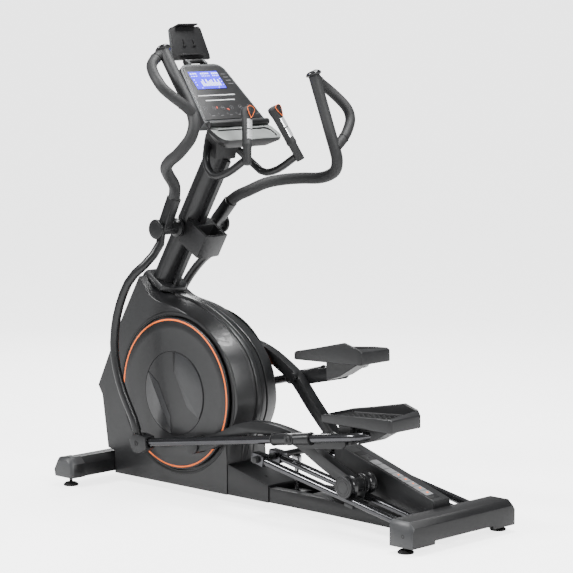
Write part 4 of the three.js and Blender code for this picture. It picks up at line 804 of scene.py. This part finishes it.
def face_ring(y, down, radius):
    """A printed circle on the console's face."""
    return torus(on_face(y, down, ICON_LIFT), FACE_OUT, radius * MM, 0.0005, sides=28, around=6)


def ink_plate(y_low, y_high, down_low, down_high):
    """A lit mark on the display."""
    return face_plate(y_low, y_high, down_low, down_high, INK_LIFT, INK_THICK)


def housing_zone(polygon):
    """Silver round the face, dark at the back and on the neck."""
    depth = (polygon.center - FACE_TOP).dot(FACE_OUT)
    is_rim = depth > HOUSING_BACK and polygon.center.z > NECK_TOP and polygon.normal.y > LEFT_TURNED
    return 0 if is_rim else 1


def tray_zone(polygon):
    """Pale on the tray's open floor, dark elsewhere."""
    return 1 if polygon.normal.dot(TRAY_OUT) > TRAY_FLAT and polygon.center.x > TRAY_FROM else 0


def lcd_marks():
    """A bar chart, three rows of figures and some dots, none of which says anything."""
    marks = []
    for i in range(LCD_BAR_COUNT):
        height = 10 + 22 * abs(math.sin(1.3 * i + 0.6))
        y = -50 + 8.4 * i
        marks.append(ink_plate(y, y + 6.6, 104 - height, 104))
    for row, (y_from, count, wide) in enumerate(LCD_ROWS):
        for k in range(count):
            y = y_from + k * (wide + 2.5)
            marks.append(ink_plate(y, y + wide, 43, 49 + row))
            marks.append(ink_plate(y, y + wide * 0.7, 55, 60))
    marks.extend(ink_plate(y, y + 5, down, down + 3.5) for y, down in LCD_DOTS)
    return merged(*marks)


def face_icons():
    """Faint generic signs: slanting strokes at the right and a row of buttons below."""
    signs = [face_plate(68 + 4 * i, 92 + 4 * i, 50 + 15 * i, 53 + 15 * i) for i in range(4)]
    for i in range(ICON_COUNT):
        y = -110 + ICON_PITCH * i
        signs.append(face_ring(y, 205, 8))
        signs.append(face_plate(y - 4, y + 4, 204, 206))
        signs.append(face_plate(y + 12, y + 26, 238, 240.5))
        signs.append(face_ring(y + 6, 232, 3.4))
    return merged(*signs)


def build_console():
    """Console housing, face, display and tray, and the tablet holder above."""
    skin("console_housing", "silver", bevel=0.004, segments=3, looks=["dark"], pick=housing_zone)
    skin("console_screen", "face", bevel=0.0006)
    bezel = face_plate(-90, 60, 33, 120, thick=0.4)
    piece("lcd_bezel", "frame", *bezel, "black", "screen", bevel=0.0003)
    piece("lcd_glass", "frame", *face_plate(-86, 56, 37, 116, LCD_LIFT, 0.3), "lcd", "screen")
    piece("lcd_marks", "frame", *lcd_marks(), "lcd_ink", "screen")
    bars = [face_plate(-106, 76, 145, 149), face_plate(-84, 60, 168, 172)]
    piece("face_bars", "frame", *merged(*bars), "print", "screen")
    piece("face_icons", "frame", *face_icons(), "faint_print", "screen")
    red = [face_plate(*mark) for mark in RED_MARKS]
    piece("face_red_marks", "frame", *merged(*red), "red_print", "screen")
    skin("console_tray", "dark", bevel=0.003, looks=["tray", "silver"], pick=tray_zone)
    build_tablet_holder()


HOLDER_AT = mm(398, 0, 1562)
HOLDER_UP = Vector((-0.31, 0, 0.951)).normalized()
HOLDER_OUT = Vector((HOLDER_UP.z, 0, -HOLDER_UP.x))
# outline of a painted highlight: the holder's left side face, painted silver
HOLDER_HIGHLIGHT_OUTLINE = [                         # across, up and out from the foot of its plate
    (-90.4, 12, -11), (-92.2, 24, -11), (-76.6, 121, -11),
    (-76.6, 121, -1.5), (-92.2, 24, -1.5), (-90.4, 12, -1.5),
]


def on_holder(y, up, out):
    """A point by the tablet holder's plate, in millimetres from its foot."""
    return HOLDER_AT + Vector((0, y * MM, 0)) + HOLDER_UP * up * MM + HOLDER_OUT * out * MM


def build_tablet_holder():
    """The tablet holder with its clamp, two hooks and a painted highlight: a silver sheet on its left edge.
    """
    skin("tablet_holder", bevel=0.002)
    skin("tablet_clamp", bevel=0.001)
    hooks = []
    for y in (-24, 24):
        hooks.append(slab([on_holder(y - 2.5, 58, 0), on_holder(y + 2.5, 58, 0), on_holder(y + 2.5, 82, 0),
                           on_holder(y - 2.5, 82, 0)], HOLDER_OUT * 0.003))
        hooks.append(slab([on_holder(y - 8, 56, 2.4), on_holder(y + 8, 56, 2.4), on_holder(y + 6, 63, 2.4),
                           on_holder(y - 6, 63, 2.4)], HOLDER_OUT * 0.0022))
    piece("tablet_hooks", "tablet_holder", *merged(*hooks), "black", "dark_plastic", bevel=0.0006)
    # painted highlight: a thin silver sheet on the holder's left side face
    edge = slab([on_holder(*p) for p in HOLDER_HIGHLIGHT_OUTLINE], (0, -0.0006, 0))
    piece("tablet_edge", "tablet_holder", *edge, "silver", "dark_plastic")


GRIP_FOOT = Vector((805, 135, 1221))    # on the right side; the left mirrors it
GRIP_HEAD = Vector((733, 63, 1410))
GRIP_PROFILE = [
    (0.0135, 0.0), (0.0152, 0.002), (0.0152, 0.062), (0.0168, 0.066), (0.0182, 0.069), (0.0184, 0.074),
    (0.0172, 0.080), (0.0176, 0.150), (0.0184, 0.175), (0.0215, 0.193), (0.0220, 0.204), (0.0195, 0.2125),
    (0.012, 0.2155), (0.001, 0.2160),
]
USER_ABOVE = math.radians(31)           # the user's hand meets the grip from this far above level
PULSE_PLATES = [(0.42, 0.585), (0.605, 0.77)]
PULSE_INNER, PULSE_OUTER = 17.6, 18.7   # millimetres from the grip's axis
PULSE_ANGLES = [math.radians(a) for a in range(-38, 39, 8)]
PAD_AT = 0.87                           # share of the grip's length; the lists count from here
PAD_HALF = [(-0.030, 7), (0.030, 13), (0.070, 15.5), (0.100, 14), (0.122, 8)]
PAD_OUTLINE = [(-0.085, 0), *PAD_HALF, (0.126, 0), *[(t, -a) for t, a in reversed(PAD_HALF)]]
PAD_KEYS = [(0.055, -6), (0.055, 6), (0.01, -6), (0.01, 6)]
PAD_FOOT, PAD_TOP, KEY_TOP = 19.2, 23.4, 24


class Grip:
    """One fixed hand grip: its axis, and the direction in which it faces the user."""

    def __init__(self, side):
        self.side = side
        self.axis = self.mirrored(GRIP_HEAD) - self.mirrored(GRIP_FOOT)
        self.axis.normalize()
        user = Vector((math.cos(USER_ABOVE), 0, math.sin(USER_ABOVE)))
        self.user = (user - self.axis * user.dot(self.axis)).normalized()
        self.across = self.axis.cross(self.user)

    def mirrored(self, point):
        """A design point of the right grip, on this side."""
        return mm(point.x, self.side.sign * point.y, point.z)

    def at(self, share, out=0.0, across=0.0):
        """A point at a share of the grip's length, so far out towards the user and across."""
        point = self.mirrored(GRIP_FOOT.lerp(GRIP_HEAD, share))
        return point + self.user * out * MM + self.across * across * MM

    def pad_at(self, share, across, out):
        """A point of the thumb pad."""
        return self.at(PAD_AT + share, out, across)

    def pulse_plate(self, t0, t1):
        """A metal contact plate wrapped round the user's side of the grip."""
        verts = []
        for t in (t0, t1):
            for radius in (PULSE_INNER, PULSE_OUTER):
                verts.extend(self.at(t, radius * math.cos(a), radius * math.sin(a)) for a in PULSE_ANGLES)
        n = len(PULSE_ANGLES)
        faces = []
        for i in range(n - 1):
            for row, other in ((1, 3), (0, 2), (0, 1), (2, 3)):
                faces.append((row * n + i, row * n + i + 1, other * n + i + 1, other * n + i))
        faces.append((0, n, 3 * n, 2 * n))
        faces.append((n - 1, 2 * n - 1, 4 * n - 1, 3 * n - 1))
        return verts, faces


def build_grips():
    """Fixed grips with pulse plates, and thumb buttons near their heads."""
    scale = (GRIP_HEAD - GRIP_FOOT).length * MM / GRIP_PROFILE[-1][1]
    profile = [(r, d * scale) for r, d in GRIP_PROFILE]
    for side in SIDES:
        name = side.name
        grip = Grip(side)
        verts, faces = lathe(grip.at(0), grip.axis, profile, sides=40)
        obj = piece(f"hand_grip_{name}", "frame", verts, faces, "foam", "foam", smooth=60)
        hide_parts(f"grip_{side.name}")
        plates = [grip.pulse_plate(t0, t1) for t0, t1 in PULSE_PLATES]
        piece(f"pulse_plates_{name}", "frame", *merged(*plates), "plate", "steel", smooth=50)
        pad_body = f"thumb_button_{name}"
        pad = slab([grip.pad_at(t, a, PAD_FOOT) for t, a in PAD_OUTLINE], grip.user * 0.0045)
        obj = piece(f"thumb_pad_{name}", pad_body, *pad, "dark", "dark_plastic", bevel=0.0012)
        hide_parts(f"thumb_button_{side.name}")
        edge = [grip.pad_at(t, a, PAD_TOP) for t, a in PAD_OUTLINE + PAD_OUTLINE[:1]]
        rim = [tube([start, end], 0.0009, sides=8) for start, end in zip(edge, edge[1:])]
        # the orange rim glows a little: a painted glow on trim
        piece(f"thumb_rim_{name}", pad_body, *merged(*rim), "orange", "dark_plastic")
        keys = [torus(grip.pad_at(t, a, KEY_TOP), grip.user, 0.0030, 0.0009, sides=20, around=6)
                for t, a in PAD_KEYS]
        piece(f"thumb_keys_{name}", pad_body, *merged(*keys), "cap_grey", "dark_plastic")


# ---------------------------------------------------------------- pedals, arms and rollers

TREAD_HEIGHTS = [(-84, 74), (0, 80), (150, 90), (204, 91)]      # rearward of the hinge, above it
TREAD_UP = 0.9                          # the tread's floor looks up more than this
TREAD_AREA = 0.004                      # and is larger than this
BEVEL_ABOVE = 0.048                     # only edges this far above the hinge are rounded
RIB_ALONG = range(-50, 190, 24)
RIB_OFF = (40, 62, 84, 106, 128)
RIB_SUNK = 0.0035
RIB_CORNERS = [(-0.007, -0.002), (0.007, -0.002), (0.007, 0.002), (-0.007, 0.002)]
RIB_TALL = 0.0047
PEDAL_BOLT = [(0.015, 0), (0.015, 0.005), (0.013, 0.0065), (0.008, 0.0065), (0.0075, 0.004), (0.001, 0.004)]
TUBE_OFF = 186                          # the arm's tube, off the centre plane
BRACKET_FACE = 209
BRACKET_PLATE = 163


def tread_height(u):
    """The tread's floor above the hinge, which rises towards the heel."""
    for (u0, h0), (u1, h1) in zip(TREAD_HEIGHTS, TREAD_HEIGHTS[1:]):
        if u <= u1:
            return h0 + (h1 - h0) * (u - u0) / (u1 - u0)
    return TREAD_HEIGHTS[-1][1]


def build_pedals():
    """Pedal arms, brackets and foot plates with their ribs and bolts."""
    for side in SIDES:
        name = side.name
        skin(f"pedal_arm_{name}", bevel=0.0)
        skin(f"pedal_bracket_{name}", bevel=0.0015)
        skin(f"pedal_{name}", bevel=0.0045, bevel_angle=28, segments=3, flatten=3,
             above=side.hinge.z + BEVEL_ABOVE, looks=["dark"],
             pick=lambda p: 1 if p.normal.z > TREAD_UP and p.area > TREAD_AREA else 0)
        ribs = []
        for u in RIB_ALONG:
            for off in RIB_OFF:
                base = side.hinge + Vector((u * MM, 0, tread_height(u) * MM - RIB_SUNK)) + side.off(off)
                corners = [base + Vector((dx, dy, 0)) for dx, dy in RIB_CORNERS]
                ribs.append(slab(corners, (0, 0, RIB_TALL)))
        piece(f"tread_ribs_{name}", f"pedal_{name}", *merged(*ribs), "dark", "rubber")
        inward = (0, -side.sign, 0)
        head = lathe(side.hinge + side.off(94.2), inward, PEDAL_BOLT, sides=18)
        piece(f"pedal_bolt_{name}", f"pedal_link_{name}", *head, "iron", "steel", smooth=25)
        bands = [torus(side.pedal(a, 0, TUBE_OFF), side.along, 0.0212, 0.0016, sides=40)
                 for a in (682, 858)]
        pivot = bolt_head(side.pedal(770, 0, BRACKET_FACE), side.outward, 0.013, 0.004)
        holes = [bolt_head(side.pedal(a, 4, BRACKET_PLATE), inward, 0.004, 0.0008) for a in (850, 905)]
        trim = merged(*bands, pivot, *holes)
        piece(f"bracket_trim_{name}", f"pedal_link_{name}", *trim, "dark", "frame_paint")


WHEEL_OFF = {"inner": 100, "outer": 185}
WHEEL_PROFILE = [
    (0.0105, -17), (0.0335, -17), (0.0358, -15.5), (0.0358, -14.4), (0.0296, -10), (0.0263, -5.5),
    (0.0252, 0), (0.0263, 5.5), (0.0296, 10), (0.0358, 14.4), (0.0358, 15.5), (0.0335, 17), (0.0105, 17),
]
CAP_RINGS = [(210.1, 0.022), (210.1, 0.030), (74.9, 0.022), (74.9, 0.030)]
ARM_OFF = 142.5
EYE_RINGS = (-11, 11)                   # either side of the arm's middle


def build_arms():
    """Curved arms with the roller carriages and wheels under them."""
    for side in SIDES:
        name = side.name
        skin(f"curved_arm_{name}", bevel=0.003)
        skin(f"roller_carriage_{name}", bevel=0.0015)
        skin(f"roller_axle_{name}", "plastic", bevel=0.0015, smooth=60)
        profile = [(r, d * MM) for r, d in WHEEL_PROFILE]
        for row, off in WHEEL_OFF.items():
            wheel = lathe(side.roller + side.off(off), ACROSS, profile, sides=56, bored=True)
            obj = piece(f"wheel_{row}_{name}", f"roller_{row}_{name}", *wheel, "wheel", "wheel", smooth=50)
            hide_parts(f"roller_{row}_{name}")
        rings = [torus(side.roller + side.off(off), ACROSS, r, 0.0012, sides=48, around=6)
                 for off, r in CAP_RINGS]
        piece(f"cap_rings_{name}", f"axle_{name}", *merged(*rings), "black", "plastic")
        stripes = [torus(side.roller + side.off(ARM_OFF + step), ACROSS, 0.0242, 0.0009, sides=40, around=6)
                   for step in EYE_RINGS]
        piece(f"arm_eye_rings_{name}", f"arm_{name}", *merged(*stripes), "black", "frame_paint")


# ---------------------------------------------------------------- the whole machine

place_camera()
build_stage()
build_frame()
build_ramp()
build_shroud()
build_discs()
build_mast()
build_handles()
build_console()
build_grips()
build_pedals()
build_arms()
